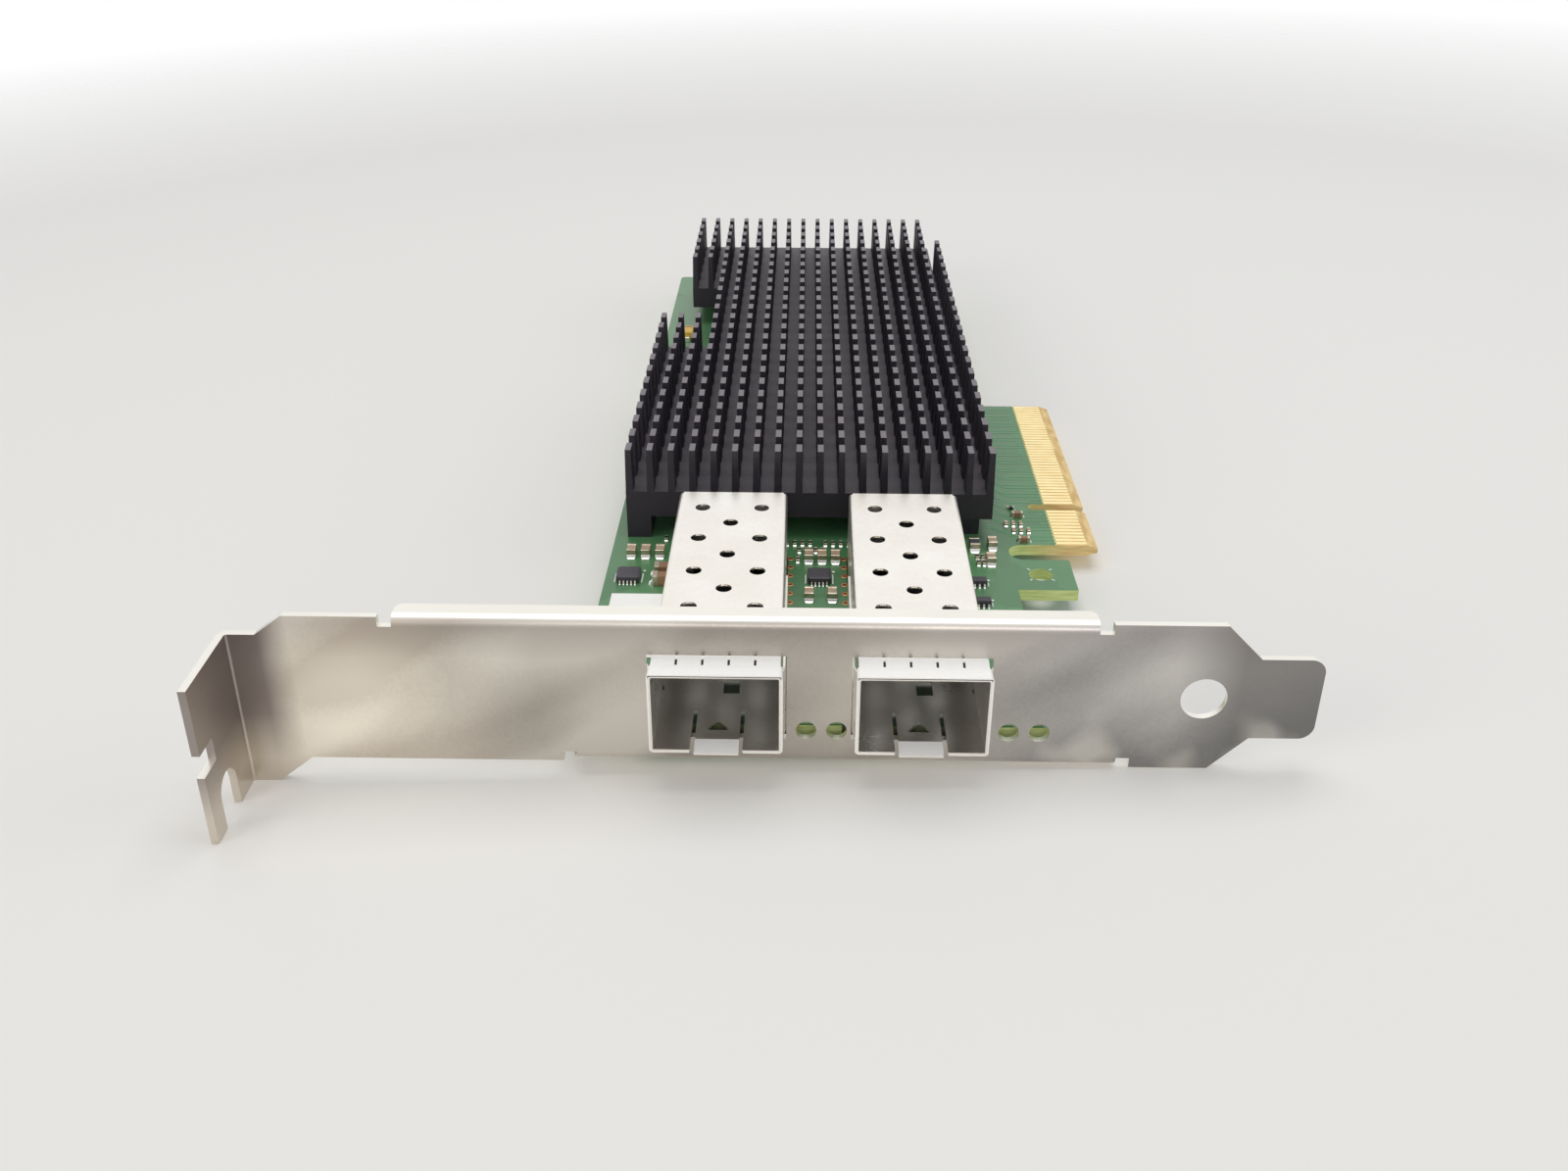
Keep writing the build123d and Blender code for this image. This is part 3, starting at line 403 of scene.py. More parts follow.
# The cage gets a painted highlight on its latch lip and painted shade on its top behind the mouth.
plated_sheet("cage_metal", *cage_tones, 0.30, 0.05, 90.0, 0.0, 1e-5, lip_slope, under_collar)
# The collar fingers get a painted highlight on their upward faces.
plated_sheet("spring_metal", *spring_tones, 0.30, 0.05, grain=0.0, satin=finger_tops)
print("plated finishes:", len(finishes))


# %% [markdown]
# ## The bracket's own sheet
# The bracket is the largest plain surface, so it gets more than the small parts. Its fine mottle is the
# plate's own; the long slanting streaks over it are painted reflections, and so are the warmer and
# brighter tone towards the screw tab, the duller one towards the tongue and light spots low on the right.
# Beside the bend of the screw tab the sheet has a painted highlight, its brightest patch. Painted shade
# darkens the tab towards its top and the face under the flange, and the cut edges have a painted highlight.
# Its upward faces, the flange along the board, are painted almost white as a highlight.

# %% Bracket finish
STREAK_REFLECTION_SIZES = (34.0 * MM, 50.0 * MM, 11.0 * MM)
STREAK_REFLECTION_SLANT = math.radians(-28)
HIGHLIGHT_MIDDLE = (-92.0 * MM, 0.0, 3.5 * MM)
HIGHLIGHT_SIZES = (13.0 * MM, 1.0, 8.0 * MM)
HIGHLIGHT_SLANT = math.radians(-20)
# Each pair says between which two places along X, or heights, one tone goes over into the next.
TAB_TO_FACE = (-100.0 * MM, -96.5 * MM)
EDGE_HIGHLIGHTS_FROM = (-98.6 * MM, -98.0 * MM)
WARM_TO_MIDDLE = (-90.0 * MM, -70.0 * MM)
MIDDLE_TO_COOL = (-34.0 * MM, -10.0 * MM)
REFLECTION_SPOTS_FROM = (-30.0 * MM, -10.0 * MM)
COOL_TO_TONGUE = (0.0, 7.0 * MM)
TAB_DARKENS = (2.0 * MM, -4.0 * MM)
FACE_DARKENS = (9.5 * MM, 13.5 * MM)
REFLECTION_SPOTS_BELOW = (5.0 * MM, -2.0 * MM)


def bracket_sheet():
    s = Shading("bracket_metal", Metallic=1.0)
    fine = s.group(mottle, patch_scale=90.0, speck_scale=2600.0, speck_share=0.35)
    # The slanting streaks are painted reflections; the fine mottle under them is the plate's own.
    reflection_streaks = s.noise(1.0, 1.5, 0.45, vector=s.slanted(STREAK_REFLECTION_SIZES, STREAK_REFLECTION_SLANT))
    tone = s.math("ADD", s.math("MULTIPLY", reflection_streaks, 0.82), s.math("MULTIPLY", fine, 0.18))
    cloud = s.ramp(tone, 0.38, 0.60)
    along = s.place_part("X")
    height = s.place_part("Z")
    # These tones along X are painted reflection: warm and bright towards the screw tab, duller towards the
    # tongue.
    warm = s.mix(cloud, (0.62, 0.55, 0.46), (1.0, 0.95, 0.84))
    middle = s.mix(cloud, (0.38, 0.35, 0.31), (0.62, 0.58, 0.52))
    cool = s.mix(cloud, (0.29, 0.285, 0.28), (0.58, 0.56, 0.53))
    tongue = s.mix(cloud, (0.19, 0.186, 0.182), (0.27, 0.26, 0.25))
    # The screw tab's tone is painted shade, darker towards its top.
    tab = s.mix(s.ramp(height, *TAB_DARKENS), (0.34, 0.30, 0.28), (0.68, 0.62, 0.54))
    left_part = s.mix(s.ramp(along, *WARM_TO_MIDDLE), warm, middle)
    # A painted highlight beside the bend of the screw tab.
    tab_bend_highlight_place = s.slanted(HIGHLIGHT_SIZES, HIGHLIGHT_SLANT, HIGHLIGHT_MIDDLE)
    tab_bend_highlight = s.node("ShaderNodeTexGradient", {"Vector": tab_bend_highlight_place}, gradient_type="SPHERICAL").outputs["Fac"]
    tab_bend_highlight_share = s.math("MULTIPLY", s.ramp(tab_bend_highlight, 0.0, 0.6), s.ramp(cloud, 0.0, 1.0, 0.4, 1.0))
    lit = s.mix(tab_bend_highlight_share, left_part, (1.0, 0.94, 0.81))
    from_tab = s.mix(s.ramp(along, *TAB_TO_FACE), tab, lit)
    to_right = s.mix(s.ramp(along, *MIDDLE_TO_COOL), from_tab, cool)
    face = s.mix(s.ramp(along, *COOL_TO_TONGUE), to_right, tongue)
    shaded = s.mix(s.ramp(height, *FACE_DARKENS, 0.0, 0.35), face, (0.20, 0.16, 0.15))
    # Lighter spots low on the right are painted reflection.
    reflection_spots = s.ramp(s.noise(150.0, 1.0), 0.48, 0.68)
    low_reflection_spots = s.math("MULTIPLY", reflection_spots, s.ramp(height, *REFLECTION_SPOTS_BELOW, 0.0, 0.55))
    right_reflection_spots = s.math("MULTIPLY", low_reflection_spots, s.ramp(along, *REFLECTION_SPOTS_FROM))
    spotted = s.mix(right_reflection_spots, shaded, (0.86, 0.82, 0.74))
    # The cut edges get a painted highlight.
    edge_on = s.ramp(s.math("ABSOLUTE", s.normal_part("Y")), 0.6, 0.3)
    edge_highlight = s.math("MULTIPLY", edge_on, s.ramp(along, *EDGE_HIGHLIGHTS_FROM))
    edged = s.mix(edge_highlight, spotted, (0.90, 0.86, 0.78))
    # Upward faces, the flange along the board, get a painted highlight, almost white.
    upward = s.ramp(s.normal_part("Z"), 0.55, 0.95)
    s.feed(
        Base_Color=s.mix(upward, edged, (0.82, 0.80, 0.74)),
        Roughness=s.ramp(fine, 0.3, 0.7, 0.38, 0.27),
        Normal=s.group(relief, wave_scale=60.0, wave_height=6e-5, grain_scale=2600.0, grain_height=4e-6),
    )


bracket_sheet()

# %% Black anodised aluminium
PIN_TOPS_FROM = (12.5 * MM, 13.0 * MM)


def anodised_black():
    """Black on the sides of the pins; painted sheen makes the base between them greyer and their tops
    greyest.
    """
    s = Shading("heatsink_metal")
    cloud = s.group(mottle, patch_scale=45.0, speck_scale=2200.0, speck_share=0.4)
    # Upward faces are lighter by painted sheen: the floors between the pins, and most of all the pin tops.
    upward = s.ramp(s.normal_part("Z"), 0.3, 0.95)
    pin_top_sheen = s.math("MULTIPLY", upward, s.ramp(s.place_part("Z"), *PIN_TOPS_FROM))
    skin = s.mix(s.ramp(cloud, 0.35, 0.65), (0.009, 0.007, 0.013), (0.019, 0.014, 0.024))
    sheen_floor_tone = s.mix(upward, skin, (0.045, 0.036, 0.048))
    s.feed(
        Base_Color=s.mix(pin_top_sheen, sheen_floor_tone, (0.150, 0.132, 0.150)),
        Roughness=s.ramp(cloud, 0.3, 0.7, 0.40, 0.54),
        Normal=s.group(relief, wave_height=0.0, grain_scale=3500.0, grain_height=8e-6),
    )


anodised_black()
print("finishes so far:", len(finishes))

# %% [markdown]
# ## Board, gold and mouldings
# The laminate carries green solder mask on its faces, stops it short of the gold contacts, and shows its
# bare core at every cut edge. One material does all of it: the surface normal tells faces from edges and
# the bevel, and the place along X tells where the mask ends. Areas of copper under the mask make it a
# shade lighter, so a cell pattern with straight sides varies the green, and the weave gives a faint grain.

# %% Laminate
contact_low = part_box("component_side_contacts")[0]
MASK_END = contact_low.x - 0.2 * MM
MASK_END_BLUR = 0.05 * MM
CONTACT_NEAR_Y = contact_low.y - 1.6 * MM
CORE_BROWNS = (-11.0 * MM, -4.0 * MM)
CAGE_REAR_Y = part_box("left_cage_cover")[1].y
BRACKET_BACK = (-38.0 * MM, -37.0 * MM)
DARK_IN_FRONT = 8.6 * MM
DARK_BEHIND = 7.3 * MM


def under_cages(s):
    """1 on the board where painted shade goes: the narrow space under the two cages and beside their mouths.
    """
    behind = s.ramp(s.place_part("Y"), *BRACKET_BACK, DARK_IN_FRONT, DARK_BEHIND)
    total = 0.0
    for side in ("left", "right"):
        cage_x = middle_of(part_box(f"{side}_cage_cover")).x
        off = s.math("ABSOLUTE", s.math("SUBTRACT", s.place_part("X"), cage_x))
        total = s.math("ADD", s.math("LESS_THAN", off, behind), total)
    not_below = s.ramp(s.normal_part("Z"), -0.9, -0.5)
    before_rear = s.math("LESS_THAN", s.place_part("Y"), CAGE_REAR_Y)
    return s.math("MULTIPLY", s.math("MULTIPLY", total, not_below), before_rear)


def laminate():
    s = Shading("board_laminate")
    cloud = s.group(mottle, patch_scale=160.0, speck_scale=5000.0, speck_share=0.35)
    pours = s.node("ShaderNodeTexVoronoi", {"Vector": s.place, "Scale": 95.0}, distance="CHEBYCHEV")
    copper_share = s.ramp(pours.outputs["Color"], 0.2, 0.8)
    poured = s.mix(copper_share, (0.070, 0.192, 0.080), (0.098, 0.262, 0.112))
    mask = s.mix(s.ramp(cloud, 0.3, 0.7, 0.0, 0.35), poured, (0.056, 0.160, 0.066))
    weave = s.ramp(s.noise(1.0, 1.0, vector=s.stretched((300.0, 300.0, 4000.0))), 0.35, 0.65)
    core = s.mix(weave, (0.56, 0.66, 0.24), (0.72, 0.82, 0.36))
    tan = s.mix(weave, (0.66, 0.44, 0.17), (0.86, 0.64, 0.30))
    beyond = s.ramp(s.place_part("X"), MASK_END - MASK_END_BLUR, MASK_END + MASK_END_BLUR)
    on_tab = s.math("GREATER_THAN", s.place_part("Y"), CONTACT_NEAR_Y)
    bare = s.math("MULTIPLY", beyond, on_tab)
    browned = s.math("MULTIPLY", s.ramp(s.place_part("X"), *CORE_BROWNS), on_tab)
    flat = s.ramp(s.math("ABSOLUTE", s.normal_part("Z")), 0.990, 0.998)
    masked = s.math("MULTIPLY", flat, s.math("SUBTRACT", 1.0, bare))
    board = s.mix(masked, s.mix(browned, core, tan), mask)
    s.feed(
        # The board under the cages gets painted shade, nearly black.
        Base_Color=s.mix(s.math("MULTIPLY", under_cages(s), 0.88), board, (0.006, 0.010, 0.006)),
        Roughness=s.ramp(masked, 0.0, 1.0, 0.70, 0.30),
        Normal=s.group(relief, wave_scale=400.0, wave_height=6e-6, grain_scale=4000.0),
    )


def gold_plate():
    s = Shading("gold_plate", Metallic=1.0)
    cloud = s.group(mottle, patch_scale=400.0, speck_scale=6000.0, speck_share=0.3)
    wiped = s.noise(1.0, 2.0, vector=s.stretched((150.0, 5000.0, 150.0)))
    s.feed(
        Base_Color=s.mix(s.ramp(cloud, 0.35, 0.65), (0.95, 0.76, 0.38), (1.0, 0.88, 0.50)),
        Roughness=s.ramp(wiped, 0.3, 0.7, 0.22, 0.38),
    )


laminate()
gold_plate()
print("mask ends at", round(MASK_END / MM, 2), "mm")


# %% Mouldings, ceramics, paper, resin and prints
def moulded(name, dark, light, roughness, grain=6e-6):
    s = Shading(name)
    cloud = s.group(mottle, patch_scale=300.0, speck_scale=6000.0, speck_share=0.5)
    s.feed(
        Base_Color=s.mix(s.ramp(cloud, 0.35, 0.65), dark, light),
        Roughness=s.ramp(cloud, 0.3, 0.7, roughness - 0.06, roughness + 0.06),
        Normal=s.group(relief, grain_scale=6000.0, grain_height=grain),
    )


# Each row has the darkest and lightest colour and the roughness, and a few have a grain of their own.
mouldings = {
    "connector_moulding": ((0.010, 0.010, 0.011), (0.020, 0.020, 0.021), 0.5),
    "chip_moulding": ((0.034, 0.030, 0.040), (0.054, 0.048, 0.062), 0.55),
    "capacitor_ceramic": ((0.30, 0.20, 0.11), (0.40, 0.28, 0.17), 0.45),
    "resistor_ceramic": ((0.012, 0.012, 0.014), (0.025, 0.025, 0.028), 0.35),
    "ferrite": ((0.040, 0.042, 0.055), (0.070, 0.072, 0.090), 0.6),
    "tantalum_moulding": ((0.62, 0.38, 0.05), (0.74, 0.48, 0.09), 0.42),
    "pad_rubber": ((0.22, 0.23, 0.25), (0.30, 0.31, 0.33), 0.8),
    "label_paper": ((0.93, 0.93, 0.91), (0.97, 0.97, 0.96), 0.6, 2e-6),
    "light_resin": ((0.28, 0.44, 0.22), (0.38, 0.54, 0.30), 0.2, 0.0),
    "capacitor_tan": ((0.34, 0.25, 0.16), (0.46, 0.35, 0.24), 0.45),
    "capacitor_brown": ((0.22, 0.12, 0.06), (0.31, 0.18, 0.10), 0.42),
    # hole_dark is painted shade in the holes of the copper rings.
    "hole_dark": ((0.030, 0.008, 0.005), (0.060, 0.018, 0.010), 0.6, 0.0),
    "trace_green": ((0.085, 0.300, 0.120), (0.100, 0.340, 0.138), 0.30, 0.0),
    "via_green": ((0.100, 0.330, 0.130), (0.130, 0.380, 0.155), 0.28, 0.0),
    "white_ink": ((0.74, 0.76, 0.72), (0.86, 0.87, 0.84), 0.6, 2e-6),
    "band_brown": ((0.22, 0.10, 0.03), (0.30, 0.15, 0.05), 0.5),
}
for name, values in mouldings.items():
    moulded(name, *values)

slot_of = {part["node"]: part["material_slot"] for part in frame["record"]["subparts"]}
for name, node in nodes.items():
    node.data.materials.clear()
    node.data.materials.append(finishes[slot_of[name]])
print("finishes:", len(finishes), "nodes with a finish:", len(nodes))

# %% [markdown]
# ## Copies on points
# Small parts repeat by the dozen. One geometry node tree serves them all: it sets a copy of a pattern on
# each point, turned and sized by two attributes that the point carries, joins the copies into one mesh
# and gives it a finish. Patterns are one unit long, wide and high, so a point's size is in metres.

# %% A node tree that sets copies on points
copies = Nodes(bpy.data.node_groups.new("copies", "GeometryNodeTree"))
copies.socket("Points", "Geometry")
copies.socket("Pattern", "Object")
copies.socket("Finish", "Material")
copies.socket("Copies", "Geometry", "OUTPUT")
given = copies.node("NodeGroupInput").outputs


def point_attribute(name):
    reader = copies.node("GeometryNodeInputNamedAttribute", {"Name": name}, data_type="FLOAT_VECTOR")
    return reader.outputs["Attribute"]


set_on_points = copies.node(
    "GeometryNodeInstanceOnPoints",
    {
        "Points": given["Points"],
        "Instance": copies.node("GeometryNodeObjectInfo", {"Object": given["Pattern"]}).outputs["Geometry"],
        "Rotation": copies.node("FunctionNodeEulerToRotation", {0: point_attribute("turn")}).outputs[0],
        "Scale": point_attribute("size"),
    },
)
realize = copies.node("GeometryNodeRealizeInstances", {0: set_on_points.outputs[0]})
finish_inputs = {"Geometry": realize.outputs[0], "Material": given["Finish"]}
set_finish = copies.node("GeometryNodeSetMaterial", finish_inputs)
copies.node("NodeGroupOutput", {"Copies": set_finish.outputs[0]})
copies_socket = {item.name: item.identifier for item in copies.tree.interface.items_tree}
print("copies tree:", len(copies.tree.nodes), "nodes")


# %% Placing copies
def turned(angle=0.0, hung=False):
    """A turn about Z for a copy on the component face; a hung one is turned over, for the solder side."""
    return (math.pi if hung else 0.0, 0.0, angle)


def centred(count, pitch):
    """Offsets of a row of places from its middle."""
    return [(i - (count - 1) / 2) * pitch for i in range(count)]


def set_copies(name, pattern, places, finish):
    """One piece made of copies; each place is a point, a turn and a size in metres."""
    points = bpy.data.meshes.new(name)
    points.from_pydata([tuple(point) for point, turn, size in places], [], [])
    for key, column in (("turn", 1), ("size", 2)):
        attribute = points.attributes.new(key, "FLOAT_VECTOR", "POINT")
        attribute.data.foreach_set("vector", [v for place in places for v in place[column]])
    piece = add_object(name, points)
    modifier = piece.modifiers.new("copies", "NODES")
    modifier.node_group = copies.tree
    modifier[copies_socket["Pattern"]] = patterns[pattern]
    modifier[copies_socket["Finish"]] = finishes[finish]
    graph = bpy.context.evaluated_depsgraph_get()
    baked = bpy.data.meshes.new_from_object(piece.evaluated_get(graph), depsgraph=graph)
    piece.modifiers.remove(modifier)
    piece.data = baked
    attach(piece, ROOT)
    return piece


# %% [markdown]
# ## Patterns
# Each pattern is a hundred faces at most. A chip part is a body between two metal ends with a foot of
# solder at each; a lead is a bent strip; a ring and a dome serve the plated holes.

# %% Building a mesh
def built_mesh(name, build):
    """A mesh that build(bm) fills, with its faces turned outwards."""
    bm = bmesh.new()
    build(bm)
    bmesh.ops.recalc_face_normals(bm, faces=bm.faces)
    mesh = bpy.data.meshes.new(name)
    bm.to_mesh(mesh)
    bm.free()
    return mesh


def join_rings(bm, rings):
    """Faces between each ring of vertices and the next."""
    for first, second in zip(rings, rings[1:]):
        for i in range(len(first)):
            j = (i + 1) % len(first)
            bm.faces.new((first[i], first[j], second[j], second[i]))


def close_ends(bm, rings):
    bm.faces.new(rings[0])
    bm.faces.new(list(reversed(rings[-1])))


def add_block(bm, low, high, soften=0.0):
    """A box between two corners, with its edges softened by a share of its smallest side."""
    size = Vector(high) - Vector(low)
    made = bmesh.ops.create_cube(bm, size=1.0)["verts"]
    bmesh.ops.scale(bm, verts=made, vec=size)
    bmesh.ops.translate(bm, verts=made, vec=(Vector(low) + Vector(high)) / 2)
    if soften:
        edges = {e for v in made for e in v.link_edges}
        bmesh.ops.bevel(bm, geom=list(edges), offset=soften * min(size), segments=1, affect="EDGES")


# %% Patterns for chip parts and leads
END_SHARE = 0.22
BODY_END = 0.52 - END_SHARE
# Each station of a fillet is a place along the part, a height and a half width.
FILLET = ((0.46, 0.44, 0.49), (0.52, 0.34, 0.49), (0.56, 0.16, 0.47), (0.61, 0.07, 0.42), (0.67, 0.02, 0.32))
LEAD_TOP = ((0.0, 1.0), (0.36, 1.0), (0.58, 0.26), (1.0, 0.26))
LEAD_BOTTOM = ((1.0, 0.0), (0.46, 0.0), (0.26, 0.72), (0.0, 0.72))


def chip_body(bm):
    add_block(bm, (-BODY_END, -0.47, 0.03), (BODY_END, 0.47, 0.96), 0.04)


def chip_ends(bm):
    for inner, outer in ((-0.5, END_SHARE - 0.5), (0.5 - END_SHARE, 0.5)):
        add_block(bm, (inner, -0.5, 0.0), (outer, 0.5, 1.0), 0.16)


def chip_solder(bm):
    """Two fillets that climb the ends."""
    for side in (-1, 1):
        rings = []
        for along, z, half in FILLET:
            outline = ((-half, 0), (-half, z), (half, z), (half, 0))
            rings.append([bm.verts.new((side * along, y, level)) for y, level in outline])
        join_rings(bm, rings)
        close_ends(bm, rings)


def gull_wing(bm):
    """A lead from the body's side at the origin outwards along X, down to its foot."""
    near, far = [[bm.verts.new((x, y, z)) for x, z in LEAD_TOP + LEAD_BOTTOM] for y in (-0.5, 0.5)]
    join_rings(bm, [near, far])
    for row in (near, far):
        for a, b, c, d in ((0, 1, 6, 7), (1, 2, 5, 6), (2, 3, 4, 5)):
            bm.faces.new((row[a], row[b], row[c], row[d]))


def block(bm):
    add_block(bm, (-0.5, -0.5, 0.0), (0.5, 0.5, 1.0))


def soft_block(bm):
    add_block(bm, (-0.5, -0.5, 0.0), (0.5, 0.5, 1.0), 0.09)


# %% Patterns for rings, discs and mounds
RING_SIDES = 20


def circles(bm, shape):
    """One circle of vertices for each radius and height of a shape."""
    angles = [i * 2 * math.pi / RING_SIDES for i in range(RING_SIDES)]
    return [[bm.verts.new((r * math.cos(a), r * math.sin(a), z)) for a in angles] for r, z in shape]


def ring(bm):
    """A flat ring, half as wide inside as outside, with a rounded top."""
    rings = circles(bm, ((0.5, 0.0), (0.46, 0.8), (0.38, 1.0), (0.28, 0.8), (0.26, 0.0)))
    join_rings(bm, rings + rings[:1])


def disc(bm):
    rings = circles(bm, ((0.5, 0.0), (0.48, 0.9)))
    join_rings(bm, rings)
    close_ends(bm, rings)


def dome(bm):
    """A mound of solder round a pin, steep at the foot and round on top."""
    rings = circles(bm, ((0.5, 0.0), (0.42, 0.22), (0.30, 0.55), (0.22, 0.82), (0.12, 0.97)))
    join_rings(bm, rings)
    close_ends(bm, rings)


patterns = {
    build.__name__: bpy.data.objects.new(build.__name__, built_mesh(build.__name__, build))
    for build in (chip_body, chip_ends, chip_solder, gull_wing, block, soft_block, ring, disc, dome)
}
print("patterns:", {name: len(made.data.polygons) for name, made in patterns.items()})


# %% [markdown]
# ## Where the small parts are
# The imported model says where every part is. A node such as the filter capacitors holds several solids,
# so the script groups its vertices into connected solids and measures each one's box.

# %% Boxes of the separate solids in a node
SAME_PLACE = 0.001 * MM


def solid_boxes(node_name):
    """Lowest and highest corner of each connected solid in a node."""
    bm = bmesh.new()
    bm.from_mesh(nodes[node_name].data)
    bmesh.ops.remove_doubles(bm, verts=bm.verts, dist=SAME_PLACE)
    boxes = []
    seen_verts = set()
    for start in bm.verts:
        if start in seen_verts:
            continue
        seen_verts.add(start)
        group = [start]
        for vert in group:
            for edge in vert.link_edges:
                other = edge.other_vert(vert)
                if other not in seen_verts:
                    seen_verts.add(other)
                    group.append(other)
        boxes.append(tuple(Vector([pick(v.co[i] for v in group) for i in range(3)]) for pick in (min, max)))
    bm.free()
    return boxes


def at_level(box, z):
    """The middle of a box, moved to a height."""
    return Vector((*middle_of(box).xy, z))


def chip_places(node_name, hung=False):
    """A place for each part of a node, turned along its longer side."""
    places = []
    for low, high in solid_boxes(node_name):
        size = high - low
        along_y = size.y > size.x
        long, short = (size.y, size.x) if along_y else (size.x, size.y)
        turn = turned(math.pi / 2 if along_y else 0.0, hung)
        places.append((at_level((low, high), high.z if hung else low.z), turn, (long, short, size.z)))
    return places


board_low, board_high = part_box("circuit_board")
SOLDER_Z = board_low.z
FACE_Z = 0.0
PRINT = 0.03 * MM
UPPER = (FACE_Z, FACE_Z + PRINT)
LOWER = (SOLDER_Z - PRINT, SOLDER_Z)
print("board:", [round(v / MM, 2) for v in board_high - board_low], "mm")

# %% [markdown]
# ## Capacitors and resistors
# Each kind is three pieces: bodies that stand in for the plain solids, tinned ends, and solder at the
# feet. The solder is what catches the light in the photograph.

# %% Chip parts on both faces
dressed = [
    ("filter_capacitor", "filter_capacitors", "capacitor_tan", "capacitor_ceramic", False),
    ("storage_capacitor", "storage_capacitors", "capacitor_brown", "capacitor_ceramic", False),
    ("coupling_capacitor", "coupling_capacitors", "capacitor_brown", "capacitor_ceramic", False),
    ("small_resistor", "small_resistors", "resistor_ceramic", "resistor_ceramic", False),
    ("signal_choke", "signal_choke", "ferrite", "ferrite", False),
    ("decoupling_capacitor", "decoupling_capacitors", "capacitor_tan", "capacitor_ceramic", True),
]
for label, node_name, body_finish, slot, hung in dressed:
    places = chip_places(node_name, hung)
    bodies = set_copies(f"{label}_bodies", "chip_body", places, body_finish)
    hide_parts(node_name)
    set_copies(f"{label}_ends", "chip_ends", places, "tinned_end")
    set_copies(f"{label}_solder", "chip_solder", places, "bright_solder")
    print(label, len(places))

# %% Yellow capacitor with its two strips and polarity band
STRIP_OUT = 0.1 * MM
STRIP_LONG = 1.6 * MM
STRIP_WIDE = 0.9 * MM
STRIP_HIGH_SHARE = 0.5
BAND_LONG_SHARE = 0.80
BAND_FROM_MIDDLE_SHARE = 0.30
BAND_WIDE = 0.5 * MM
BAND_THICK = 0.01 * MM
tantalum_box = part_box("tantalum_capacitor")
tantalum_size = tantalum_box[1] - tantalum_box[0]
tantalum_foot = at_level(tantalum_box, FACE_Z)
strip_size = (STRIP_LONG, STRIP_WIDE, tantalum_size.z * STRIP_HIGH_SHARE)
tantalum_strips = []
for side in (-1, 1):
    strip_foot = tantalum_foot + Vector((0, side * (tantalum_size.y / 2 + STRIP_OUT), 0))
    tantalum_strips.append((strip_foot, turned(), strip_size))
set_copies("tantalum_strips", "soft_block", tantalum_strips, "solder")
band_foot = tantalum_foot + Vector((0, tantalum_size.y * BAND_FROM_MIDDLE_SHARE, tantalum_size.z))
band = [(band_foot, turned(), (tantalum_size.x * BAND_LONG_SHARE, BAND_WIDE, BAND_THICK))]
set_copies("tantalum_band", "block", band, "band_brown")
print("tantalum strips:", len(tantalum_strips))

# %% [markdown]
# ## Leaded chips
# The plain solids carry the leads, but in the colour of the body. Here the bodies are set again as soft
# blocks and the leads as bent tinned strips.

# %% Chips and their leads
BODY_LIFT = 0.08 * MM
LEAD_HEIGHT_SHARE = 0.55


def leaded(label, node_name, body_depth, leads, pitch, lead_width):
    """Replaces a node of chips; leads stand along the two sides that face along the body's depth."""
    bodies = []
    strips = []
    for low, high in solid_boxes(node_name):
        size = high - low
        foot = at_level((low, high), low.z)
        depth_axis = 0 if node_name == "firmware_memory" and size.x > size.y else 1
        across_axis = 1 - depth_axis
        body_size = size.copy()
        body_size[depth_axis] = body_depth
        body_size.z -= BODY_LIFT
        bodies.append((foot + Vector((0, 0, BODY_LIFT)), turned(), tuple(body_size)))
        lead_size = ((size[depth_axis] - body_depth) / 2, lead_width, size.z * LEAD_HEIGHT_SHARE)
        for side in (-1, 1):
            angle = math.atan2(side * depth_axis, side * across_axis)
            for shift in centred(leads, pitch):
                offset = Vector((0, 0, 0))
                offset[depth_axis] = side * body_depth / 2
                offset[across_axis] = shift
                strips.append((foot + offset, turned(angle), lead_size))
    piece = set_copies(f"{label}_bodies", "soft_block", bodies, "chip_moulding")
    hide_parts(node_name)
    set_copies(f"{label}_leads", "gull_wing", strips, "bright_solder")
    return bodies


driver_bodies = leaded("port_driver", "port_driver_chips", 3.1 * MM, 5, 0.5 * MM, 0.20 * MM)
translator_bodies = leaded("level_translator", "level_translator_chips", 1.25 * MM, 3, 0.65 * MM, 0.26 * MM)
memory_bodies = leaded("firmware_memory", "firmware_memory", 3.9 * MM, 4, 1.27 * MM, 0.42 * MM)
print("chips:", len(driver_bodies) + len(translator_bodies) + len(memory_bodies))

# %% [markdown]
# ## Plated holes
# The cages are pressed into plated holes. Copper rings show along their sides, and on the solder side
# each pin ends in a mound of solder. The screws sit on bare tinned rings.

# %% Mounds of solder on the cages' pins
PIN_APART = 1.2 * MM
PIN_BELOW = 0.1 * MM
MOUND_SIZE = (1.5 * MM, 1.5 * MM, 0.75 * MM)


def pin_feet(node_name):
    """Middles of the pins that reach below the board, on its solder side."""
    groups = []
    for vert in nodes[node_name].data.vertices:
        if vert.co.z < SOLDER_Z - PIN_BELOW:
            near = [group for group in groups if (group[0] - vert.co).xy.length < PIN_APART]
            if near:
                near[0].append(vert.co)
            else:
                groups.append([vert.co])
    middles = [sum(group, Vector((0, 0, 0))) / len(group) for group in groups]
    return [Vector((middle.x, middle.y, SOLDER_Z)) for middle in middles]


cage_pins = pin_feet("left_cage_cover") + pin_feet("right_cage_cover")
pin_mounds = [(foot, turned(hung=True), MOUND_SIZE) for foot in cage_pins]
set_copies("cage_pin_solder", "dome", pin_mounds, "bright_solder")
print("mounds:", len(pin_mounds))

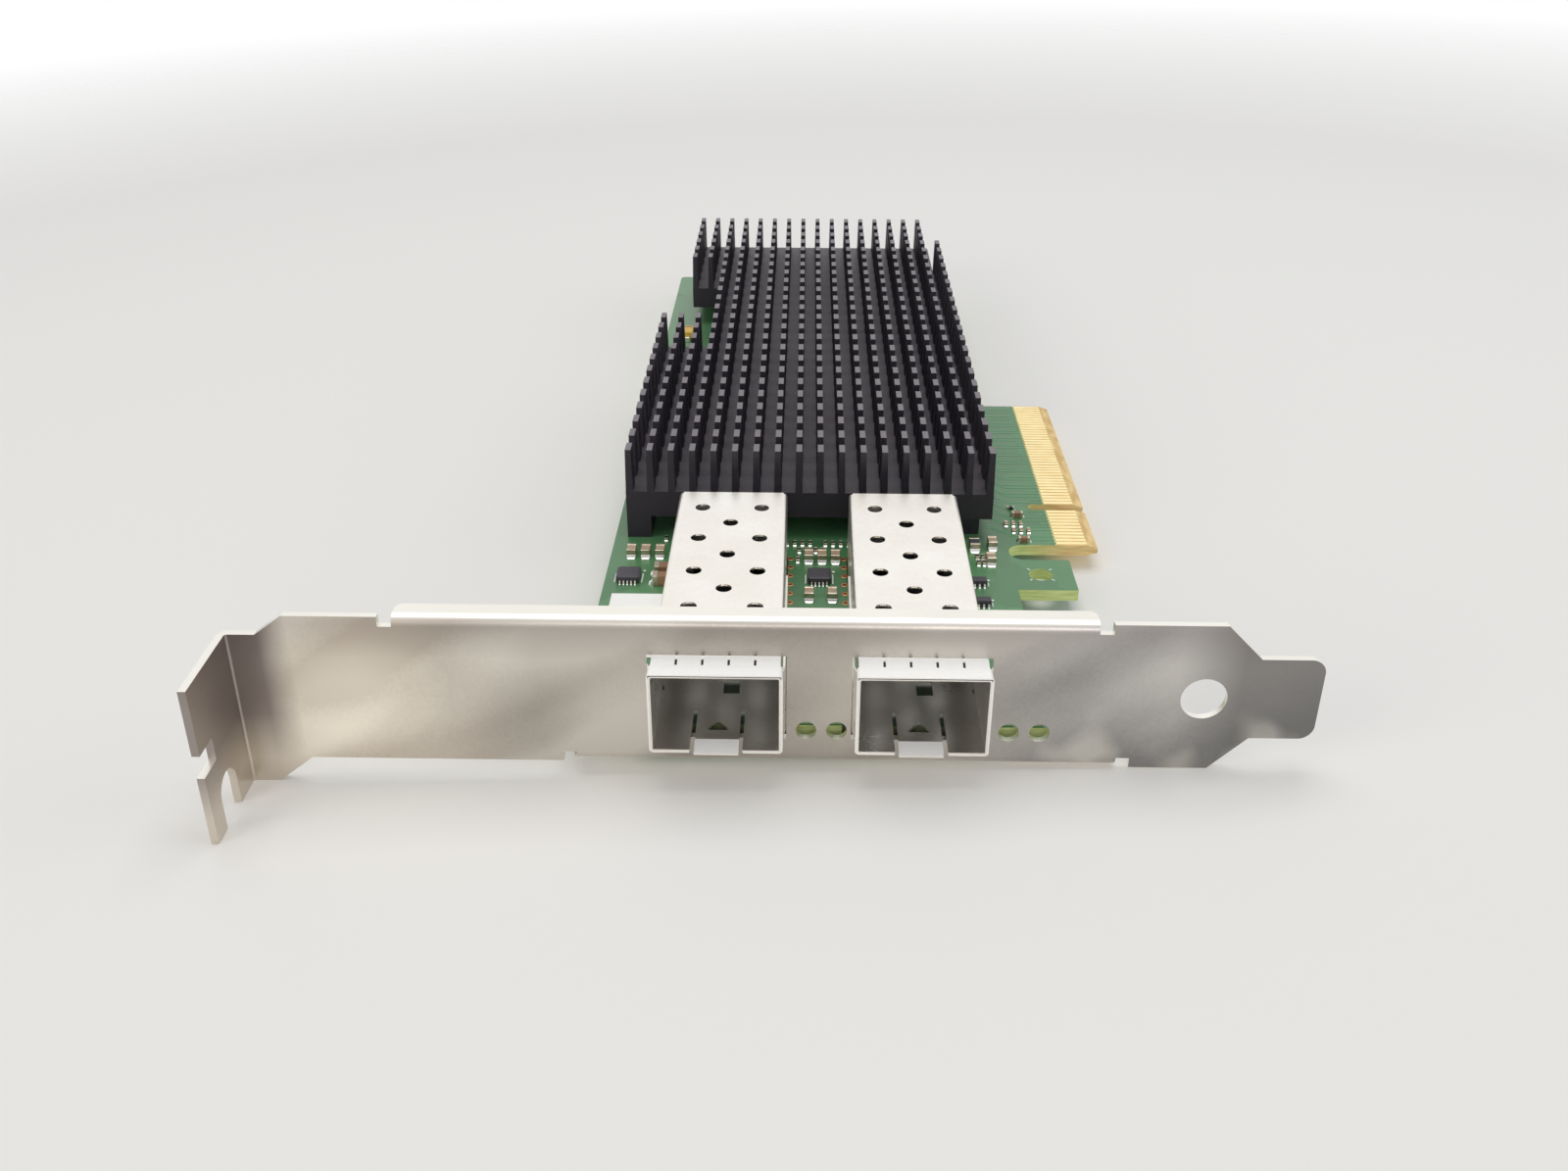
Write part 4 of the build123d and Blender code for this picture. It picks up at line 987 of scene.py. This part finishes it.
# %% Rings along the cages and pads under the screws
RING_SIZE = (0.95 * MM, 0.95 * MM, PRINT)
RING_CORE = (0.52 * MM, 0.52 * MM, PRINT * 0.5)
RING_PITCH = 2.42 * MM
RINGS_FROM_CAGE_END = 0.4 * MM
RINGS_BESIDE_WALL = 0.5 * MM
RING_COUNT = 10
BRACKET_PAD_SIZE = (7.2 * MM, 7.2 * MM, PRINT)
HEATSINK_PAD_SIZE = (5.6 * MM, 5.6 * MM, PRINT)
ring_feet = []
for wall_x, way in ((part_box("left_cage_cover")[1].x, 1), (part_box("right_cage_cover")[0].x, -1)):
    for i in range(RING_COUNT):
        y = CAGE_REAR_Y - RINGS_FROM_CAGE_END - i * RING_PITCH
        ring_feet.append(Vector((wall_x + way * RINGS_BESIDE_WALL, y, FACE_Z)))
cage_rings = [(foot, turned(), RING_SIZE) for foot in ring_feet]
set_copies("cage_rings", "ring", cage_rings, "copper")
# Each ring's hole is filled with a dark disc of painted shade.
ring_cores = [(foot, turned(), RING_CORE) for foot in ring_feet]
set_copies("cage_ring_holes", "disc", ring_cores, "hole_dark")

screw_pads = [(at_level(box, FACE_Z), turned(), BRACKET_PAD_SIZE) for box in solid_boxes("bracket_screws")]
for box in solid_boxes("heatsink_screws"):
    screw_pads.append((at_level(box, SOLDER_Z), turned(hung=True), HEATSINK_PAD_SIZE))
set_copies("screw_pads", "ring", screw_pads, "solder")
print("rings:", len(cage_rings), "screw pads:", len(screw_pads))

# %% Contacts inside the two host connectors
CONNECTOR_PITCH = 0.8 * MM
BLADES_IN_A_ROW = 10
BLADE_SIZE = (0.34 * MM, 4.4 * MM, 0.14 * MM)
BLADE_FROM_MOUTH = 2.4 * MM
BLADE_LEVELS = (2.80 * MM, 3.86 * MM)
blades = []
for side in ("left", "right"):
    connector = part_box(f"{side}_host_connector")
    for level in BLADE_LEVELS:
        for shift in centred(BLADES_IN_A_ROW, CONNECTOR_PITCH):
            x = middle_of(connector).x + shift
            place = Vector((x, connector[0].y + BLADE_FROM_MOUTH, connector[0].z + level))
            blades.append((place, turned(), BLADE_SIZE))
set_copies("connector_blades", "block", blades, "gold_plate")
print("connector blades:", len(blades))

# %% [markdown]
# ## Printed lines
# Traces and silkscreen are ribbons a few hundredths of a millimetre high. A ribbon follows a list of
# points with square ends and mitred corners.

# %% Ribbons
SHARPEST_MITRE = 0.3


def add_ribbon(bm, points, width, low, high):
    """A closed flat strip of the given width along points, between two levels."""
    flat = [Vector((x, y, 0)) for x, y in points]
    rings = []
    for i, point in enumerate(flat):
        before = (point - flat[i - 1]).normalized() if i > 0 else None
        after = (flat[i + 1] - point).normalized() if i < len(flat) - 1 else None
        along = ((before or after) + (after or before)).normalized()
        side = Vector((-along.y, along.x, 0))
        spread = width / 2 / max(SHARPEST_MITRE, along.dot(after or before))
        corners_of = ((-1, low), (1, low), (1, high), (-1, high))
        rings.append([bm.verts.new((*(point + way * spread * side).xy, z)) for way, z in corners_of])
    join_rings(bm, rings)
    close_ends(bm, rings)


def ribbons(name, lines, width, levels, finish):
    def build(bm):
        for points in lines:
            add_ribbon(bm, points, width, *levels)

    piece = add_object(name, built_mesh(name, build))
    piece.data.materials.append(finishes[finish])
    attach(piece, ROOT)


# %% Traces from the contacts and the ports to the controller
controller_low, controller_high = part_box("controller_chip")
controller_middle = middle_of((controller_low, controller_high))
contact_ys = sorted(middle_of(box).y for box in solid_boxes("component_side_contacts"))
contact_middle_y = sum(contact_ys) / len(contact_ys)
TRACE = 0.22 * MM
GROUND_STUB = 1.1 * MM
UPPER_TRACES_LONG = 9.0 * MM
CLEAR_OF_CHIP = 1.0 * MM
CONTACT_BEND = 4.6 * MM
CONTACT_BEND_STEP = 0.35 * MM
CONTACTS_DRAWN_IN = 0.45
SLANTED_SHARE = 0.9
PORT_TRACES = 8
PORTS_DRAWN_IN = 0.55
PORT_START = 1.4 * MM
PORT_START_STEP = 0.5 * MM
PORT_BEND = 4.4 * MM
PORT_BEND_STEP = 0.25 * MM


def contact_lines(stop_x):
    """Every third contact is a ground with a short stub; the others run in pairs towards the controller."""
    lines = []
    for i, y in enumerate(contact_ys):
        start = (contact_low.x, y)
        if i % 3 == 0:
            lines.append([start, (contact_low.x - GROUND_STUB, y)])
        else:
            target = controller_middle.y + (y - contact_middle_y) * CONTACTS_DRAWN_IN
            bend_x = contact_low.x - CONTACT_BEND - CONTACT_BEND_STEP * (i % 3)
            reach = SLANTED_SHARE * (bend_x - stop_x)
            shift = max(-reach, min(reach, target - y))
            lines.append([start, (bend_x, y), (bend_x - abs(shift), y + shift), (stop_x, y + shift)])
    return lines


def port_lines():
    """Traces from each port's connector back to the controller."""
    lines = []
    boxes = [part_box(f"{side}_host_connector") for side in ("left", "right")]
    between_x = middle_of((boxes[0][0], boxes[1][1])).x
    for box in boxes:
        for i, offset in enumerate(centred(PORT_TRACES, CONNECTOR_PITCH)):
            x = middle_of(box).x + offset
            target = controller_middle.x + (x - between_x) * PORTS_DRAWN_IN
            first_y = box[1].y + PORT_START + PORT_START_STEP * (i % 2)
            bend_y = box[1].y + PORT_BEND + PORT_BEND_STEP * i
            end = (target, controller_low.y - CLEAR_OF_CHIP)
            lines.append([(x, first_y), (x, bend_y), (target, bend_y + abs(target - x)), end])
    return lines


upper_lines = contact_lines(contact_low.x - UPPER_TRACES_LONG)
lower_lines = contact_lines(controller_high.x + CLEAR_OF_CHIP)
port_traces = port_lines()
ribbons("upper_traces", upper_lines, TRACE, UPPER, "trace_green")
ribbons("lower_traces", lower_lines + port_traces, TRACE, LOWER, "trace_green")
print("traces:", len(upper_lines) + len(lower_lines) + len(port_traces))

# %% Vias where traces change sides, and fields of them for heat
VIA_SIZE = (0.62 * MM, 0.62 * MM, PRINT)
HEAT_ROW = centred(5, 1.1 * MM)
EDGE_VIA_PITCH = 3.1 * MM
EDGE_VIAS_INSIDE = 0.9 * MM
EDGE_VIAS_FROM = 24.0 * MM
EDGE_VIAS_CLEAR = 6.0 * MM


def on_face(points, hung=False):
    level = SOLDER_Z if hung else FACE_Z
    return [(Vector((x, y, level)), turned(hung=hung), VIA_SIZE) for x, y in points]


heat_vias = []
for box in solid_boxes("voltage_regulators"):
    middle = middle_of(box)
    heat_vias += [(middle.x + dx, middle.y + dy) for dx in HEAT_ROW for dy in HEAT_ROW]
edge_vias = []
edge_y = board_low.y + EDGE_VIAS_FROM
while edge_y < board_high.y - EDGE_VIAS_CLEAR:
    edge_vias.append((board_low.x + EDGE_VIAS_INSIDE, edge_y))
    edge_y += EDGE_VIA_PITCH
port_ends = [point for line in port_traces for point in (line[0], line[-1])]
upper_vias = on_face([line[-1] for line in upper_lines])
lower_points = [line[-1] for line in lower_lines] + port_ends + heat_vias + edge_vias
lower_vias = on_face(lower_points, hung=True)
set_copies("vias", "ring", upper_vias + lower_vias, "via_green")
print("vias:", len(upper_vias) + len(lower_vias))

# %% Silkscreen outlines on both faces
INK = 0.16 * MM
CHIP_LINE_OUT = 0.25 * MM
CHIP_LINE_HALF_SHARE = 0.4
DOT_OUT = Vector((0.35 * MM, 0.55 * MM, 0))
DOT_SIZE = (0.4 * MM, 0.4 * MM, PRINT)
CONTROLLER_MARKS = (0.5 * MM, 3.0 * MM)
CAGE_MARKS = (0.6 * MM, 4.0 * MM)
REGULATOR_MARGIN = 0.8 * MM


def corner_marks(low, high, margin, leg):
    """Four right-angled marks round a box."""
    lines = []
    for x, x_way in ((low.x - margin, 1), (high.x + margin, -1)):
        for y, y_way in ((low.y - margin, 1), (high.y + margin, -1)):
            lines.append([(x + x_way * leg, y), (x, y), (x, y + y_way * leg)])
    return lines


def box_outline(low, high, margin):
    xs = (low.x - margin, high.x + margin)
    ys = (low.y - margin, high.y + margin)
    return [[(xs[0], ys[0]), (xs[1], ys[0]), (xs[1], ys[1]), (xs[0], ys[1]), (xs[0], ys[0])]]


upper_ink = []
pin_dots = []
for foot, turn, size in driver_bodies + translator_bodies:
    for way in (-1, 1):
        x = foot.x + way * (size[0] / 2 + CHIP_LINE_OUT)
        half = size[1] * CHIP_LINE_HALF_SHARE
        upper_ink.append([(x, foot.y - half), (x, foot.y + half)])
    dot = Vector((foot.x + size[0] / 2, foot.y + size[1] / 2, FACE_Z)) + DOT_OUT
    pin_dots.append((dot, turned(), DOT_SIZE))
ribbons("upper_ink", upper_ink, INK, UPPER, "white_ink")

lower_ink = corner_marks(controller_low, controller_high, *CONTROLLER_MARKS)
for low, high in solid_boxes("voltage_regulators"):
    lower_ink += box_outline(low, high, REGULATOR_MARGIN)
for side in ("left", "right"):
    lower_ink += corner_marks(*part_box(f"{side}_cage_cover"), *CAGE_MARKS)[1::2]
ribbons("lower_ink", lower_ink, INK, LOWER, "white_ink")
set_copies("pin_dots", "disc", pin_dots, "white_ink")
print("ink lines:", len(upper_ink) + len(lower_ink))

# %% Ticks round the hole in the ear
ear_mount = next(mount for mount in frame["record"]["mounts"] if mount["name"] == "ear_hole")
ear_middle = Vector((ear_mount["pos_m"][0], ear_mount["pos_m"][1], FACE_Z))
TICK_RADIUS = 2.05 * MM
TICK_SIZE = (0.5 * MM, 0.18 * MM, PRINT)
ticks = []
for i in range(4):
    angle = math.pi / 4 + i * math.pi / 2
    out = Vector((math.cos(angle), math.sin(angle), 0))
    ticks.append((ear_middle + out * TICK_RADIUS, turned(angle), TICK_SIZE))
set_copies("ear_ticks", "block", ticks, "white_ink")
print("ear ticks:", len(ticks))


# %% Floor finish
FLOOR_FADE = (0.28, 0.52)


def floor_finish():
    """Matt and pale near the card; clear far away, and from below, where sight and light pass."""
    s = Shading("floor", Base_Color=(0.84, 0.83, 0.81), Roughness=0.6, Specular_IOR_Level=0.3)
    backfacing = s.node("ShaderNodeNewGeometry").outputs["Backfacing"]
    below = s.math("MAXIMUM", backfacing, s.node("ShaderNodeLightPath").outputs["Is Shadow Ray"])
    away = s.node("ShaderNodeVectorMath", {0: s.place, 1: CARD_MIDDLE}, operation="DISTANCE")
    unseen = s.math("MAXIMUM", below, s.ramp(away.outputs["Value"], *FLOOR_FADE))
    both = s.mix_shaders(unseen, s.shader, s.node("ShaderNodeBsdfTransparent"))
    s.put(both, s.tree.nodes["Material Output"].inputs["Surface"])


floor_finish()
floor.data.materials.append(finishes["floor"])
